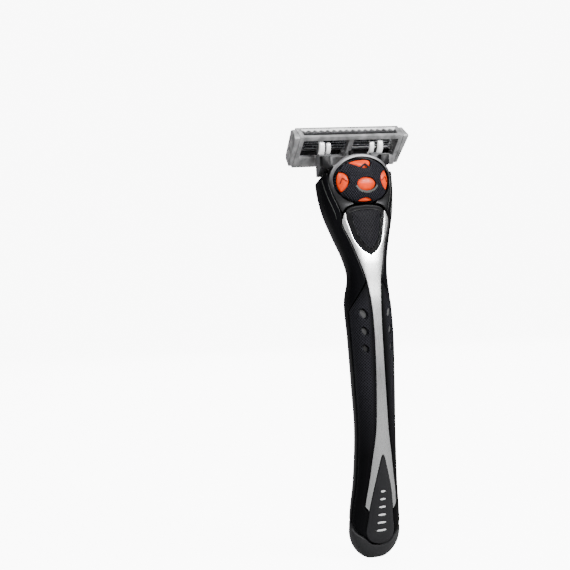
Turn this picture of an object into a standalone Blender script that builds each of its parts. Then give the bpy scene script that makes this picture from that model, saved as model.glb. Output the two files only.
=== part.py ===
"""Cartridge razor with a ball-pivot head, as separate named pieces.

Frame: +Z runs up the handle, -Y is the decorated front, +Y the side that the
blades face, +X to the right. The origin is the centre of the small flat at the
tail. Lengths below are millimetres, and MM turns them into metres.
"""

import math

import bmesh
import bpy
from mathutils import Matrix, Vector

MM = 0.001
GAP = 0.3

# Handle sections: height, front, back, half width, superellipse exponent.
SECTIONS = [
    (9.0, -4.8, 4.6, 8.85, 2.4),
    (15.6, -5.9, 4.8, 8.35, 2.4),
    (26.0, -7.6, 3.8, 7.1, 2.5),
    (42.0, -9.0, 2.5, 6.5, 2.5),
    (56.0, -9.35, 2.8, 6.8, 2.6),
    (72.0, -9.2, 3.2, 7.3, 2.6),
    (83.0, -8.6, 4.6, 7.2, 2.6),
    (91.0, -7.5, 2.2, 6.6, 2.6),
    (97.0, -6.5, 3.5, 7.5, 2.6),
    (103.5, -5.2, 5.7, 9.5, 2.8),
    (111.5, -3.8, 7.7, 11.9, 3.1),
    (120.0, -2.9, 9.4, 12.8, 3.4),
    (132.0, -2.0, 9.6, 12.8, 3.4),
]
TAIL_ROUND = 9.0
TAIL_REACH = 9.6
SKIN = 1.8
CORE_INSET = 2.1

# Half widths on the front face: height, half width.
SPINE_EDGE = [(15.2, 5.4), (17.4, 5.65), (21.0, 5.3), (26.0, 4.65), (33.5, 3.7), (42.0, 2.5),
              (52.0, 2.0), (67.0, 1.6), (80.0, 1.7), (90.0, 2.7), (94.0, 3.6), (102.5, 6.1),
              (105.5, 7.3), (108.5, 8.35), (111.0, 8.1), (113.0, 8.5), (117.5, 10.2), (121.5, 11.2),
              (125.0, 11.4)]
INLAY_EDGE = [(4.9, 0.25), (5.4, 2.4), (6.6, 4.1), (8.8, 5.1), (12.0, 4.75), (19.3, 3.75),
              (26.0, 2.4), (31.0, 1.1), (33.4, 0.45), (34.3, 0.0)]
BUTTON_EDGE = [(98.8, 0.0), (99.4, 1.5), (100.6, 3.0), (102.9, 4.7), (107.5, 6.1), (111.0, 6.75),
               (112.4, 6.6), (113.35, 5.6), (113.9, 3.6), (114.15, 0.3)]
STRIP_FOOT = 17.4
STRIP_DEPTH = [(96.0, SKIN), (101.0, 1.1), (104.0, 0.7), (111.4, 0.5)]
# How far the strip lies below the grips beside it: height, depth.
STRIP_RECESS = [(22.0, 0.0), (32.0, 0.3), (86.0, 0.3), (96.0, 0.0)]
# Edge of the end cap round the section: angle, height.
END_SEAM = [(0.0, 4.4), (0.3, 4.9), (0.5, 5.9), (0.65, 7.2), (1.2, 9.4), (1.9, 12.4), (2.4, 13.2),
            (3.2, 13.4)]

# Head
BALL_Z = 121.8
OPENING = (10.3, 7.6)
DOME = (9.85, 7.15)
DOME_RISE = 2.5
BEZEL_DEPTH = (1.6, 1.3, 0.75, 0.25)
SHOULDER_Z = 124.2
SHOULDER_SLOPE = 0.45
KEYSTONE = [(7.9, 112.1), (7.4, 112.95), (6.6, 113.7), (5.2, 114.25), (3.9, 114.5)]
BEZEL_OUTER = (11.4, 8.7)
PLATE = (0.9, 2.9)
CORE_BACK = 0.6

# Cartridge, in its own upright frame: back face at depth 0, foot at height 0.
TILT = math.radians(40.2)
PIVOT = Vector((0.0, 7.2, 133.3))
PIVOT_DEPTH = 2.0
PIVOT_RISE = 5.5
FOOT = -1.0
HEIGHT = 11.0
DEPTH = 5.6
HALF_LENGTH = 20.8
CAP_START = 18.9
BLADE_PITCH = 1.05
BLADE_LOW = 3.75

# Origins of the moving pieces, on their joints' axes.
BUTTON_HINGE = Vector((0.0, -4.0, 99.4))
SWIVEL = Vector((0.0, 0.0, BALL_Z))
EJECTOR_LINE = Vector((0.0, 3.65, 113.4))
PLUNGER_LINE = Vector((0.0, 4.35, 127.7))

PARTS = bpy.data.collections.new("cartridge_razor")
CUTTERS = bpy.data.collections.new("cutters")


# ---------------------------------------------------------------- scene

def clear_scene():
    for obj in list(bpy.data.objects):
        bpy.data.objects.remove(obj, do_unlink=True)
    for collection in (PARTS, CUTTERS):
        bpy.context.scene.collection.children.link(collection)


def material(name, color, roughness, metallic=0.0):
    made = bpy.data.materials.get(name)
    if made:
        return made
    made = bpy.data.materials.new(name)
    made.use_nodes = True
    shader = made.node_tree.nodes["Principled BSDF"]
    shader.inputs["Base Color"].default_value = (*color, 1.0)
    shader.inputs["Roughness"].default_value = roughness
    shader.inputs["Metallic"].default_value = metallic
    made.diffuse_color = (*color, 1.0)
    return made


FINISHES = {
    "black_gloss": ((0.012, 0.012, 0.013), 0.18, 0.0),
    "black_satin": ((0.02, 0.02, 0.021), 0.4, 0.0),
    "black_rubber": ((0.028, 0.028, 0.03), 0.7, 0.0),
    "silver": ((0.72, 0.73, 0.74), 0.28, 1.0),
    "bezel_grey": ((0.3, 0.3, 0.31), 0.32, 1.0),
    "frame_grey": ((0.26, 0.26, 0.265), 0.5, 0.1),
    "arm_grey": ((0.5, 0.5, 0.51), 0.35, 0.3),
    "orange": ((0.85, 0.13, 0.03), 0.15, 0.0),
    "steel": ((0.7, 0.71, 0.73), 0.2, 1.0),
    "lube_blue": ((0.05, 0.16, 0.65), 0.5, 0.0),
    "pale_plastic": ((0.6, 0.6, 0.6), 0.4, 0.0),
}


def finish(obj, slot, origin=None):
    """Gives a finished piece its material and its origin, and puts it with the parts."""
    if origin:
        obj.data.transform(Matrix.Translation(-MM * origin))
        obj.location = MM * origin
    obj.data.materials.clear()
    obj.data.materials.append(material(slot, *FINISHES[slot]))
    PARTS.objects.link(obj)
    obj.data.shade_smooth()
    obj.data.set_sharp_from_angle(angle=math.radians(35))
    return obj


def mesh_object(name, points, faces):
    """An object whose points are given in millimetres."""
    mesh = bpy.data.meshes.new(name)
    mesh.from_pydata([tuple(MM * c for c in p) for p in points], [], faces)
    work = bmesh.new()
    work.from_mesh(mesh)
    bmesh.ops.remove_doubles(work, verts=work.verts, dist=1e-6)
    bmesh.ops.recalc_face_normals(work, faces=work.faces)
    work.to_mesh(mesh)
    work.free()
    return bpy.data.objects.new(name, mesh)


# ---------------------------------------------------------------- curves through knots

def through(knots, at, column=1):
    """Smooth value at a height, from knots sorted by height (a cubic Hermite curve)."""
    if at <= knots[0][0]:
        return knots[0][column]
    if at >= knots[-1][0]:
        return knots[-1][column]

    def slope(i):
        low, high = max(i - 1, 0), min(i + 1, len(knots) - 1)
        return (knots[high][column] - knots[low][column]) / (knots[high][0] - knots[low][0])

    i = max(k for k in range(len(knots) - 1) if knots[k][0] <= at)
    span = knots[i + 1][0] - knots[i][0]
    t = (at - knots[i][0]) / span
    start, end = knots[i][column], knots[i + 1][column]
    return ((2 * t**3 - 3 * t**2 + 1) * start + (t**3 - 2 * t**2 + t) * span * slope(i)
            + (3 * t**2 - 2 * t**3) * end + (t**3 - t**2) * span * slope(i + 1))


def section(z):
    """Half width, half depth, centre and exponent of the handle at height z."""
    front, back, half, power = (through(SECTIONS, z, k) for k in (1, 2, 3, 4))
    deep, middle = (back - front) / 2, (back + front) / 2
    if z < TAIL_ROUND:
        shrink = math.sqrt(1 - ((TAIL_ROUND - z) / TAIL_REACH) ** 2)
        half, deep = half * shrink, deep * shrink
        middle *= z / TAIL_ROUND
    return half, deep, middle, power


def skin_point(z, angle, inset=0.0):
    """A point of the handle's surface: angle 0 is the front, pi the back."""
    half, deep, middle, power = section(z)
    x = (half - inset) * math.copysign(abs(math.sin(angle)) ** (2 / power), math.sin(angle))
    y = middle - (deep - inset) * math.copysign(abs(math.cos(angle)) ** (2 / power), math.cos(angle))
    return Vector((x, y, z))


def angle_of(z, x, inset=0.0):
    """The angle on the front half where the surface has this x."""
    half, _, _, power = section(z)
    return math.asin(min(1.0, max(0.0, x / (half - inset))) ** (power / 2))


def front_y(x, z):
    half, deep, middle, power = section(z)
    return middle - deep * (1 - min(0.999, abs(x) / half) ** power) ** (1 / power)


def moved(z, angle, distance):
    """The angle this far along the section, in millimetres towards the back."""
    step = 0.01
    speed = (skin_point(z, angle + step) - skin_point(z, angle)).length / step
    return angle + distance / max(speed, 1.0)


# ---------------------------------------------------------------- shapes

def grid_faces(rows, columns, start=0):
    return [(start + r * columns + c, start + r * columns + c + 1,
             start + (r + 1) * columns + c + 1, start + (r + 1) * columns + c)
            for r in range(rows - 1) for c in range(columns - 1)]


def thick_sheet(name, outer, inner):
    """A closed solid between two grids of points with the same rows and columns."""
    rows, columns = len(outer), len(outer[0])
    points = [p for grid in (outer, inner) for row in grid for p in row]
    faces = grid_faces(rows, columns) + grid_faces(rows, columns, rows * columns)
    rim = ([(0, c) for c in range(columns)] + [(r, columns - 1) for r in range(1, rows)]
           + [(rows - 1, c) for c in range(columns - 2, -1, -1)] + [(r, 0) for r in range(rows - 2, 0, -1)])
    for k, (r, c) in enumerate(rim):
        nr, nc = rim[(k + 1) % len(rim)]
        a, b = r * columns + c, nr * columns + nc
        faces.append((a, b, b + rows * columns, a + rows * columns))
    return mesh_object(name, points, faces)


def panel(name, where, rows, columns, depth=(0.0, SKIN)):
    """A curved plate: where(u, v) gives the height and angle, u across and v up."""
    def layer(inset):
        return [[skin_point(*where(c / (columns - 1), r / (rows - 1)), inset) for c in range(columns)]
                for r in range(rows)]
    return thick_sheet(name, layer(depth[0]), layer(depth[1]))


def mirrored(name, obj):
    """The same mesh across the plane x = 0, as a new object."""
    mesh = obj.data.copy()
    mesh.transform(Matrix.Scale(-1, 4, (1, 0, 0)))
    mesh.flip_normals()
    return bpy.data.objects.new(name, mesh)


def extruded(name, outline, plane, low, high):
    """An outline in the plane 'XZ' or 'YZ', pushed from low to high along the other axis."""
    curve = bpy.data.curves.new(name, "CURVE")
    curve.dimensions = "2D"
    curve.fill_mode = "BOTH"
    curve.extrude = MM * (high - low) / 2
    spline = curve.splines.new("POLY")
    spline.points.add(len(outline) - 1)
    for point, (a, b) in zip(spline.points, outline):
        point.co = (MM * a, MM * b, 0, 1)
    spline.use_cyclic_u = True
    helper = bpy.data.objects.new(name + "_outline", curve)
    CUTTERS.objects.link(helper)
    bpy.context.view_layer.update()
    mesh = bpy.data.meshes.new_from_object(helper.evaluated_get(bpy.context.evaluated_depsgraph_get()))
    bpy.data.objects.remove(helper, do_unlink=True)
    middle = MM * (low + high) / 2
    if plane == "XZ":
        place = Matrix(((1, 0, 0, 0), (0, 0, 1, middle), (0, 1, 0, 0), (0, 0, 0, 1)))
    else:
        place = Matrix(((0, 0, 1, middle), (1, 0, 0, 0), (0, 1, 0, 0), (0, 0, 0, 1)))
    mesh.transform(place)
    tidy(mesh)
    return bpy.data.objects.new(name, mesh)


def tidy(mesh):
    work = bmesh.new()
    work.from_mesh(mesh)
    bmesh.ops.remove_doubles(work, verts=work.verts, dist=1e-6)
    bmesh.ops.recalc_face_normals(work, faces=work.faces)
    work.to_mesh(mesh)
    work.free()


def box(name, low, high):
    work = bmesh.new()
    bmesh.ops.create_cube(work, size=1.0)
    size = [MM * (h - l) for l, h in zip(low, high)]
    middle = [MM * (h + l) / 2 for l, h in zip(low, high)]
    bmesh.ops.scale(work, vec=size, verts=work.verts)
    bmesh.ops.translate(work, vec=middle, verts=work.verts)
    mesh = bpy.data.meshes.new(name)
    work.to_mesh(mesh)
    work.free()
    return bpy.data.objects.new(name, mesh)


def cylinder(name, centre, radius, low, high, axis="Z", sides=24):
    """A round bar along an axis, from low to high; centre gives the other two coordinates."""
    work = bmesh.new()
    bmesh.ops.create_cone(work, cap_ends=True, segments=sides, radius1=MM * radius,
                          radius2=MM * radius, depth=MM * (high - low))
    mesh = bpy.data.meshes.new(name)
    work.to_mesh(mesh)
    work.free()
    turn = {"X": Matrix.Rotation(math.pi / 2, 4, "Y"), "Y": Matrix.Rotation(math.pi / 2, 4, "X"),
            "Z": Matrix.Identity(4)}[axis]
    middle = (low + high) / 2
    place = {"X": (middle, *centre), "Y": (centre[0], middle, centre[1]), "Z": (*centre, middle)}[axis]
    mesh.transform(Matrix.Translation(MM * Vector(place)) @ turn)
    return bpy.data.objects.new(name, mesh)


def coil(name, centre, radius, wire, low, high, turns):
    """A compression spring along Z, as a round wire on a helix."""
    curve = bpy.data.curves.new(name, "CURVE")
    curve.dimensions = "3D"
    curve.bevel_depth = MM * wire
    curve.bevel_resolution = 1
    curve.use_fill_caps = True
    steps = 10 * turns
    spline = curve.splines.new("POLY")
    spline.points.add(steps)
    for k, point in enumerate(spline.points):
        angle = 2 * math.pi * turns * k / steps
        height = low + wire + (high - low - 2 * wire) * k / steps
        point.co = (MM * (centre[0] + radius * math.cos(angle)), MM * (centre[1] + radius * math.sin(angle)),
                    MM * height, 1)
    helper = bpy.data.objects.new(name + "_wire", curve)
    CUTTERS.objects.link(helper)
    bpy.context.view_layer.update()
    mesh = bpy.data.meshes.new_from_object(helper.evaluated_get(bpy.context.evaluated_depsgraph_get()))
    bpy.data.objects.remove(helper, do_unlink=True)
    tidy(mesh)
    return bpy.data.objects.new(name, mesh)


def combine(obj, other, operation):
    """Applies a Boolean with another object, which is then used up."""
    for item in (obj, other):
        if not item.users_collection:
            CUTTERS.objects.link(item)
    modifier = obj.modifiers.new("combine", "BOOLEAN")
    modifier.operation = operation
    modifier.object = other
    bpy.context.view_layer.update()
    graph = bpy.context.evaluated_depsgraph_get()
    mesh = bpy.data.meshes.new_from_object(obj.evaluated_get(graph))
    obj.modifiers.clear()
    obj.data = mesh
    tidy(mesh)
    bpy.data.objects.remove(other, do_unlink=True)
    for collection in list(obj.users_collection):
        collection.objects.unlink(obj)
    return obj


def cut(obj, other):
    return combine(obj, other, "DIFFERENCE")


def join(obj, other):
    return combine(obj, other, "UNION")


# ---------------------------------------------------------------- handle

def back_edge(z):
    """Angle where the side shell meets the back grip or the back cover."""
    return math.radians(148 - 10 * min(1.0, max(0.0, (z - 90) / 20)))


def spine_edge(z, away=0.0):
    return moved(z, angle_of(z, through(SPINE_EDGE, z)), away)


def grip_front(z):
    """Front edge of the side grip: beside the strip, and beside the inlay below it."""
    if z >= STRIP_FOOT:
        return spine_edge(z, GAP)
    beside = moved(z, angle_of(z, through(INLAY_EDGE, z)), 1.5 * GAP)
    share = max(0.0, (z - STRIP_FOOT) / 1.7 + 1)
    return beside + (spine_edge(STRIP_FOOT, GAP) - beside) * share


def grip_back(z):
    """Back edge of the side grip, whose top is cut off on a slant."""
    share = min(1.0, max(0.0, (90.0 - z) / 9.5))
    start = angle_of(z, through(SPINE_EDGE, z))
    return start + (math.radians(86) - start) * share


def end_seam(angle):
    return through(END_SEAM, angle)


def half_sheet(name, outer, inner):
    """A thick sheet mirrored across x = 0, and one piece wherever it meets that plane."""
    sheet = thick_sheet(name, outer, inner)
    work = bmesh.new()
    work.from_mesh(sheet.data)
    on_plane = [f for f in work.faces if all(abs(v.co.x) < 1e-7 for v in f.verts)]
    bmesh.ops.delete(work, geom=on_plane, context="FACES")
    copy = bmesh.ops.duplicate(work, geom=work.verts[:] + work.edges[:] + work.faces[:])["geom"]
    copied = [g for g in copy if isinstance(g, bmesh.types.BMVert)]
    bmesh.ops.scale(work, vec=(-1, 1, 1), verts=copied)
    bmesh.ops.remove_doubles(work, verts=work.verts, dist=1e-6)
    bmesh.ops.recalc_face_normals(work, faces=work.faces)
    work.to_mesh(sheet.data)
    work.free()
    return sheet


def strip_inner(z):
    """Half width of the opening in the bright strip, which is zero between its forks."""
    if z > BUTTON_EDGE[0][0] - GAP:
        return through(BUTTON_EDGE, z) + GAP
    if z < INLAY_EDGE[-1][0] + GAP:
        return through(INLAY_EDGE, z) + GAP
    return 0.0


def slanted(z, share):
    """Height of a point of the bright strip, whose four tips are cut off on a slant."""
    foot = max(0.0, 1 - (z - 15.2) / 5)
    head = max(0.0, 1 - (111.3 - z) / 6)
    return z + (0.9 + 1.7 * share) * foot + (0.7 - 2.3 * share * share) * head


def front_spine():
    """Bright strip down the front, forked round the button and round the tail inlay."""
    heights = [15.2, 16.3, 17.4, 20, 23, 26, 29, 31.5, 33.4, 34.2, 34.7, 37, 41, 46, 52, 59, 66, 73,
               80, 86, 91, 95, 98.4, 98.9, 99.6, 100.8, 102.4, 105, 108, 111.3]
    columns = 5
    outer, inner = [], []
    for height in heights:
        shares = [c / (columns - 1) for c in range(columns)]
        places = [(slanted(height, share), share) for share in shares]
        for layer, deep in ((outer, False), (inner, True)):
            row = []
            for z, share in places:
                inset = through(STRIP_DEPTH if deep else STRIP_RECESS, z)
                start = angle_of(z, strip_inner(z), inset if z > BUTTON_EDGE[0][0] - GAP else 0.0)
                row.append(skin_point(z, start + (spine_edge(z) - start) * share, inset))
            layer.append(row)
    finish(half_sheet("front_spine", outer, inner), "silver")


def front_plate(name, edges, rows, columns, depth, lift=0.0, margin=0.0):
    """A plate on the front face; edges gives its half width at each height."""
    low, high = edges[0][0] + margin, edges[-1][0] - margin
    outer, inner = [], []
    for r in range(rows):
        z = low + (high - low) * (1 - math.cos(math.pi * r / (rows - 1))) / 2
        reach = max(through(edges, z) - margin, 0.25)
        angles = [angle_of(z, reach * c / (columns - 1)) for c in range(columns)]
        outer.append([skin_point(z, a, -lift) for a in angles])
        inner.append([skin_point(z, a, depth) for a in angles])
    return half_sheet(name, outer, inner)


def side_grips():
    def where(u, v):
        low, knee, top = end_seam(0.62 + 1.2 * u) + GAP, STRIP_FOOT, 89.2
        z = low + (knee - low) * 7 * v if v < 1 / 7 else knee + (top - knee) * (7 * v - 1) / 6
        start = grip_front(z)
        return z, start + max(grip_back(z) - start, 0.03) * u
    grip = panel("side_grip_right", where, 22, 6)
    finish(mirrored("side_grip_left", grip), "black_rubber")
    finish(grip, "black_rubber")


def side_shells():
    """Glossy flanks of the head, which run on down the sides behind the grips."""
    def where(u, v):
        low = end_seam(1.83 + 0.75 * u) + GAP
        flank = skin_point(121, 1.0 + 1.4 * u).y
        z = low + (SHOULDER_Z - SHOULDER_SLOPE * flank - low) * v
        if z < 90:
            start = moved(z, grip_back(z), 2.2 * GAP)
        else:
            start = spine_edge(z, (1.2 if z < 110 else 1.7) * GAP)
        return z, start + (back_edge(z) - start) * u
    shell = panel("side_shell_right", where, 30, 7)
    finish(mirrored("side_shell_left", shell), "black_gloss")
    finish(shell, "black_gloss")


def back_pieces():
    """Ribbed grip down the back and the cover over the back of the head."""
    split = 91.5

    def grip(u, v):
        start = moved(50, back_edge(50), GAP)
        angle = start + (math.pi - start) * u
        low = end_seam(angle) + GAP
        z = low + (split - GAP / 2 - low) * v
        start = moved(z, back_edge(z), GAP)
        return z, start + (math.pi - start) * u

    def cover(u, v):
        low = split + GAP / 2
        top = 119.4 + 5.6 * math.sin(math.pi / 2 * u)
        z = low + (top - low) * v
        start = moved(z, back_edge(z), GAP)
        return z, start + (math.pi - start) * u
    for name, where, rows, slot in (("back_grip", grip, 18, "black_rubber"),
                                    ("head_back_cover", cover, 11, "black_satin")):
        layers = [[[skin_point(*where(c / 5, r / (rows - 1)), inset) for c in range(6)]
                   for r in range(rows)] for inset in (0.0, SKIN)]
        finish(half_sheet(name, *layers), slot)


def end_cap():
    """Rounded tail, a solid plug whose flat end is the place to stand it."""
    spokes, rows = 28, 7
    angles = [2 * math.pi * k / spokes for k in range(spokes)]
    points, faces = [], []
    for r in range(rows):
        for a in angles:
            top = end_seam(min(a, 2 * math.pi - a))
            points.append(skin_point(top * (r / (rows - 1)) ** 1.5, a))
    for a in angles:
        top = end_seam(min(a, 2 * math.pi - a))
        points.append(skin_point(top, a, 3.0))
    for r in range(rows):
        faces += [(r * spokes + k, r * spokes + (k + 1) % spokes, (r + 1) * spokes + (k + 1) % spokes,
                   (r + 1) * spokes + k) for k in range(spokes)]
    faces.append(tuple(range(spokes)))
    points.append(Vector((0, 0, 8.6)))
    faces += [(rows * spokes + k, rows * spokes + (k + 1) % spokes, len(points) - 1)
              for k in range(spokes)]
    finish(mesh_object("end_cap", points, faces), "black_satin")


def handle_core():
    """Stiff core that every outer panel is fixed to, with a tongue that carries the ball's screw."""
    spokes = 20
    heights = [15.0, 20, 26, 34, 42, 52, 62, 72, 80, 85, 90, 93, 96.4]
    points, faces = [], []
    for z in heights:
        points += [skin_point(z, 2 * math.pi * k / spokes, CORE_INSET) for k in range(spokes)]
    for r in range(len(heights) - 1):
        faces += [(r * spokes + k, r * spokes + (k + 1) % spokes, (r + 1) * spokes + (k + 1) % spokes,
                   (r + 1) * spokes + k) for k in range(spokes)]
    faces += [tuple(range(spokes)), tuple(range(len(points) - spokes, len(points)))]
    core = mesh_object("handle_core", points, faces)

    tongue_rows = [90.5, 94, 98, 102, 106, 110, 114, 118, 122.0, 124.2]
    start = math.radians(166)
    layers = [[[skin_point(z, start + (math.pi - start) * c / 3, inset) for c in range(4)]
               for z in tongue_rows] for inset in (CORE_INSET + 0.05, 3.1)]
    join(core, half_sheet("tongue", *layers))
    cut(core, cylinder("screw_hole", (0, BALL_Z), 1.45, 2.0, 12.0, "Y"))
    finish(core, "black_satin")
    finish(box("centering_spring", (-0.25, 0.9, 105.2), (0.25, 2.1, 117.6)), "steel")


def bezel():
    """Arch round the ball, with two feet that reach down beside the button."""
    def around(size, degrees):
        a = math.radians(degrees)
        return (size[0] * math.cos(a), BALL_Z + size[1] * math.sin(a))
    heights = (112.6, 113.6, 114.8, 116.2, 117.5, 118.5, 119.4, 120.3, 121.2)
    outer = [KEYSTONE[0]] + [(through(SPINE_EDGE, z), z) for z in heights]
    inner = KEYSTONE + [around(OPENING, degrees) for degrees in (-66, -52, -38, -25, -12)]
    for k in range(11):
        outer.append(around(BEZEL_OUTER, 1 + 8.9 * k))
        inner.append(around(OPENING, 1 + 8.9 * k))
    front, back = [], []
    for (xi, zi), (xo, zo) in zip(inner, outer):
        line = [(xi + (xo - xi) * s / 3, zi + (zo - zi) * s / 3) for s in range(4)]
        front.append([Vector((x, front_y(x, z), z)) for x, z in line])
        back.append([Vector((x, front_y(x, z) + d, z)) for (x, z), d in zip(line, BEZEL_DEPTH)])
    for row in (front[-1], back[-1]):
        for point in row:
            point.x = 0.0
    finish(half_sheet("bezel", front, back), "bezel_grey")


# ---------------------------------------------------------------- button and ball

def release_button():
    """Pad under the thumb: a carrier with a knurled insert, hinged at its lower tip."""
    carrier = front_plate("release_button", BUTTON_EDGE, 14, 5, 2.0)
    pocket = front_plate("pocket", BUTTON_EDGE, 13, 4, 1.0, lift=1.0, margin=0.9)
    cut(carrier, pocket)
    for low, high in ((-2.6, -1.2), (1.2, 2.6)):
        join(carrier, box("lever", (low, -2.6, 108.6), (high, 2.2, 111.4)))
    finish(carrier, "black_satin", BUTTON_HINGE)
    insert = front_plate("button_pad", BUTTON_EDGE, 12, 4, 0.7, lift=0.15, margin=1.2)
    finish(insert, "black_rubber", BUTTON_HINGE)


def dome_y(x, z, lower=0.0):
    """Front surface of the ball, lifted off the bezel's surface towards its middle."""
    reach = min(1.0, math.hypot(x / DOME[0], (z - BALL_Z) / DOME[1]))
    return front_y(x, z) - DOME_RISE * (1 - reach * reach) ** 0.55 + lower


def polar_solid(name, front, back, rings, spokes):
    """A solid between two round grids; front and back map (reach, angle) to points."""
    points, faces = [front(0.0, 0.0), back(0.0, 0.0)], []
    for layer in (front, back):
        for r in range(1, rings + 1):
            reach = math.sin(math.pi / 2 * r / rings)
            points += [layer(reach, 2 * math.pi * k / spokes) for k in range(spokes)]
    for which in (0, 1):
        base = 2 + which * rings * spokes
        faces += [(which, base + k, base + (k + 1) % spokes) for k in range(spokes)]
        for r in range(rings - 1):
            low = base + r * spokes
            faces += [(low + k, low + (k + 1) % spokes, low + spokes + (k + 1) % spokes, low + spokes + k)
                      for k in range(spokes)]
    outer, inner = 2 + (rings - 1) * spokes, 2 + (2 * rings - 1) * spokes
    faces += [(outer + k, outer + (k + 1) % spokes, inner + (k + 1) % spokes, inner + k)
              for k in range(spokes)]
    return mesh_object(name, points, faces)


def oval(centre, size, count=20):
    return [(centre[0] + size[0] * math.cos(2 * math.pi * k / count),
             centre[1] + size[1] * math.sin(2 * math.pi * k / count)) for k in range(count)]


def ball_windows():
    """Outlines of the five openings in the ball's black cover, as x and height above its middle."""
    side = [(5.6, 0.1), (6.1, 1.6), (7.2, 2.6), (8.7, 2.1), (9.2, 0.0), (8.7, -2.4), (7.9, -3.2),
            (6.6, -1.9)]
    top = [(-4.2, 5.7), (-0.9, 4.3), (0.2, 5.1), (1.4, 4.3), (3.4, 4.9), (3.9, 5.8), (2.4, 6.4),
           (0.0, 6.6), (-2.4, 6.4)]
    bottom = [(-2.7, -6.1), (-1.4, -5.3), (0.0, -5.1), (1.4, -5.3), (2.7, -6.1), (0.0, -6.6)]
    return {"middle": oval((0.1, -0.8), (3.4, 2.15)), "right": side,
            "left": [(-x, z) for x, z in reversed(side)], "top": top, "bottom": bottom}


def ball():
    def place(grow, y_of):
        def at(reach, angle):
            x = (DOME[0] + grow) * reach * math.cos(angle)
            z = BALL_Z + (DOME[1] + grow) * reach * math.sin(angle)
            return Vector((x, y_of(x, z, reach), z))
        return at
    cover = polar_solid("ball_skin", place(0.0, lambda x, z, r: dome_y(x, z)),
                        place(-0.6, lambda x, z, r: dome_y(x, z, 0.75)), 6, 30)
    for name, outline in ball_windows().items():
        lifted = [(x, BALL_Z + z) for x, z in outline]
        cut(cover, extruded("window_" + name, lifted, "XZ", -9.0, 4.0))
    finish(cover, "black_satin", SWIVEL)
    core = polar_solid("ball_core", place(-0.75, lambda x, z, r: dome_y(x, z, 1.1)),
                       place(-0.75, lambda x, z, r: CORE_BACK), 5, 28)
    finish(core, "orange", SWIVEL)


def pod():
    """Fork behind the ball: a plate with two prongs, and a hub on the swivel screw."""
    half = [(0.0, 116.2), (5.6, 116.2), (8.4, 118.4), (9.3, 121.0), (9.3, 125.7), (12.2, 126.9),
            (12.2, 130.2), (9.2, 130.2), (9.2, 127.6), (7.2, 125.6), (5.2, 124.1), (0.0, 124.1)]
    outline = half + [(-x, z) for x, z in reversed(half[1:-1])]
    fork = extruded("pod_fork", outline, "XZ", *PLATE)
    join(fork, cylinder("hub", (0, BALL_Z), 2.6, 2.4, 4.9, "Y"))
    join(fork, box("guide", (-1.9, 2.6, 123.2), (1.9, 5.7, 129.2)))
    cut(fork, cylinder("screw_bore", (0, BALL_Z), 1.5, 0.0, 6.0, "Y"))
    cut(fork, cylinder("head_pocket", (0, BALL_Z), 2.5, 0.0, 2.2, "Y"))
    cut(fork, cylinder("plunger_bore", (0, 4.35), 1.1, 125.2, 131.0, "Z", 20))
    cut(fork, box("spring_slot", (-1.9, 0.5, 115.5), (1.9, 3.6, 119.3)))
    finish(fork, "black_satin", SWIVEL)
    screw = cylinder("swivel_screw", (0, BALL_Z), 1.15, 1.4, 7.2, "Y")
    join(screw, cylinder("screw_head", (0, BALL_Z), 2.15, 1.0, 1.9, "Y"))
    finish(screw, "steel")
    finish(cylinder("plunger", (0, 4.35), 0.8, 127.7, 131.75, "Z", 20), "black_satin", PLUNGER_LINE)
    finish(coil("plunger_spring", (0, 4.35), 0.6, 0.14, 125.5, 127.4, 4), "steel", SWIVEL)


def ejector():
    """U-shaped slide that lifts the cartridge's feet off the fork."""
    half = [(0.0, 112.4), (6.9, 112.4), (6.9, 120.0), (8.9, 121.4), (8.9, 123.4), (7.4, 123.4),
            (7.4, 122.2), (5.6, 120.6), (5.6, 114.4), (0.0, 114.4)]
    outline = half + [(-x, z) for x, z in reversed(half[1:-1])]
    finish(extruded("ejector", outline, "XZ", 3.2, 4.1), "pale_plastic", EJECTOR_LINE)
    finish(coil("ejector_spring", (0, 3.65), 1.1, 0.18, 114.7, 119.1, 4), "steel", SWIVEL)


# ---------------------------------------------------------------- cartridge

def to_head(obj):
    """Moves a piece from the cartridge's own upright frame to its tilted place."""
    move = (Matrix.Translation(MM * PIVOT) @ Matrix.Rotation(TILT, 4, "X")
            @ Matrix.Translation(-MM * Vector((0.0, PIVOT_DEPTH, PIVOT_RISE))))
    obj.data.transform(move)
    return obj


def on_cartridge(obj, slot):
    finish(to_head(obj), slot, PIVOT)


def bar(name, low, high, slot):
    on_cartridge(box(name, low, high), slot)


def cartridge_frame():
    """Open tray: a back plate with two windows, end walls, a foot bar and the trimmer's carrier."""
    wide = CAP_START - GAP
    frame = box("cartridge_frame", (-wide, 0.0, FOOT), (wide, DEPTH - 0.4, HEIGHT))
    cut(frame, box("tray", (-wide + 1.0, 1.3, 3.1), (wide - 1.0, DEPTH + 1, 9.3)))
    for side in (-1, 1):
        low, high = sorted((side * 0.9, side * 17.6))
        cut(frame, box("window", (low, -1.0, 2.9), (high, 2.0, 9.7)))
        cut(frame, box("rinse_slot", (low, 1.3, FOOT - 1), (high, 3.2, 4.0)))
    cut(frame, box("guard_seat", (-wide - 1, 3.2, FOOT - 1), (wide + 1, DEPTH + 1, 2.9)))
    cut(frame, box("strip_seat", (-wide + 1.0, 3.9, 9.0), (wide - 1.0, DEPTH + 1, 10.4)))
    cut(frame, box("trimmer_slot", (-17.2, 1.9, 10.0), (17.2, 3.0, HEIGHT + 1)))
    on_cartridge(frame, "frame_grey")


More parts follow.
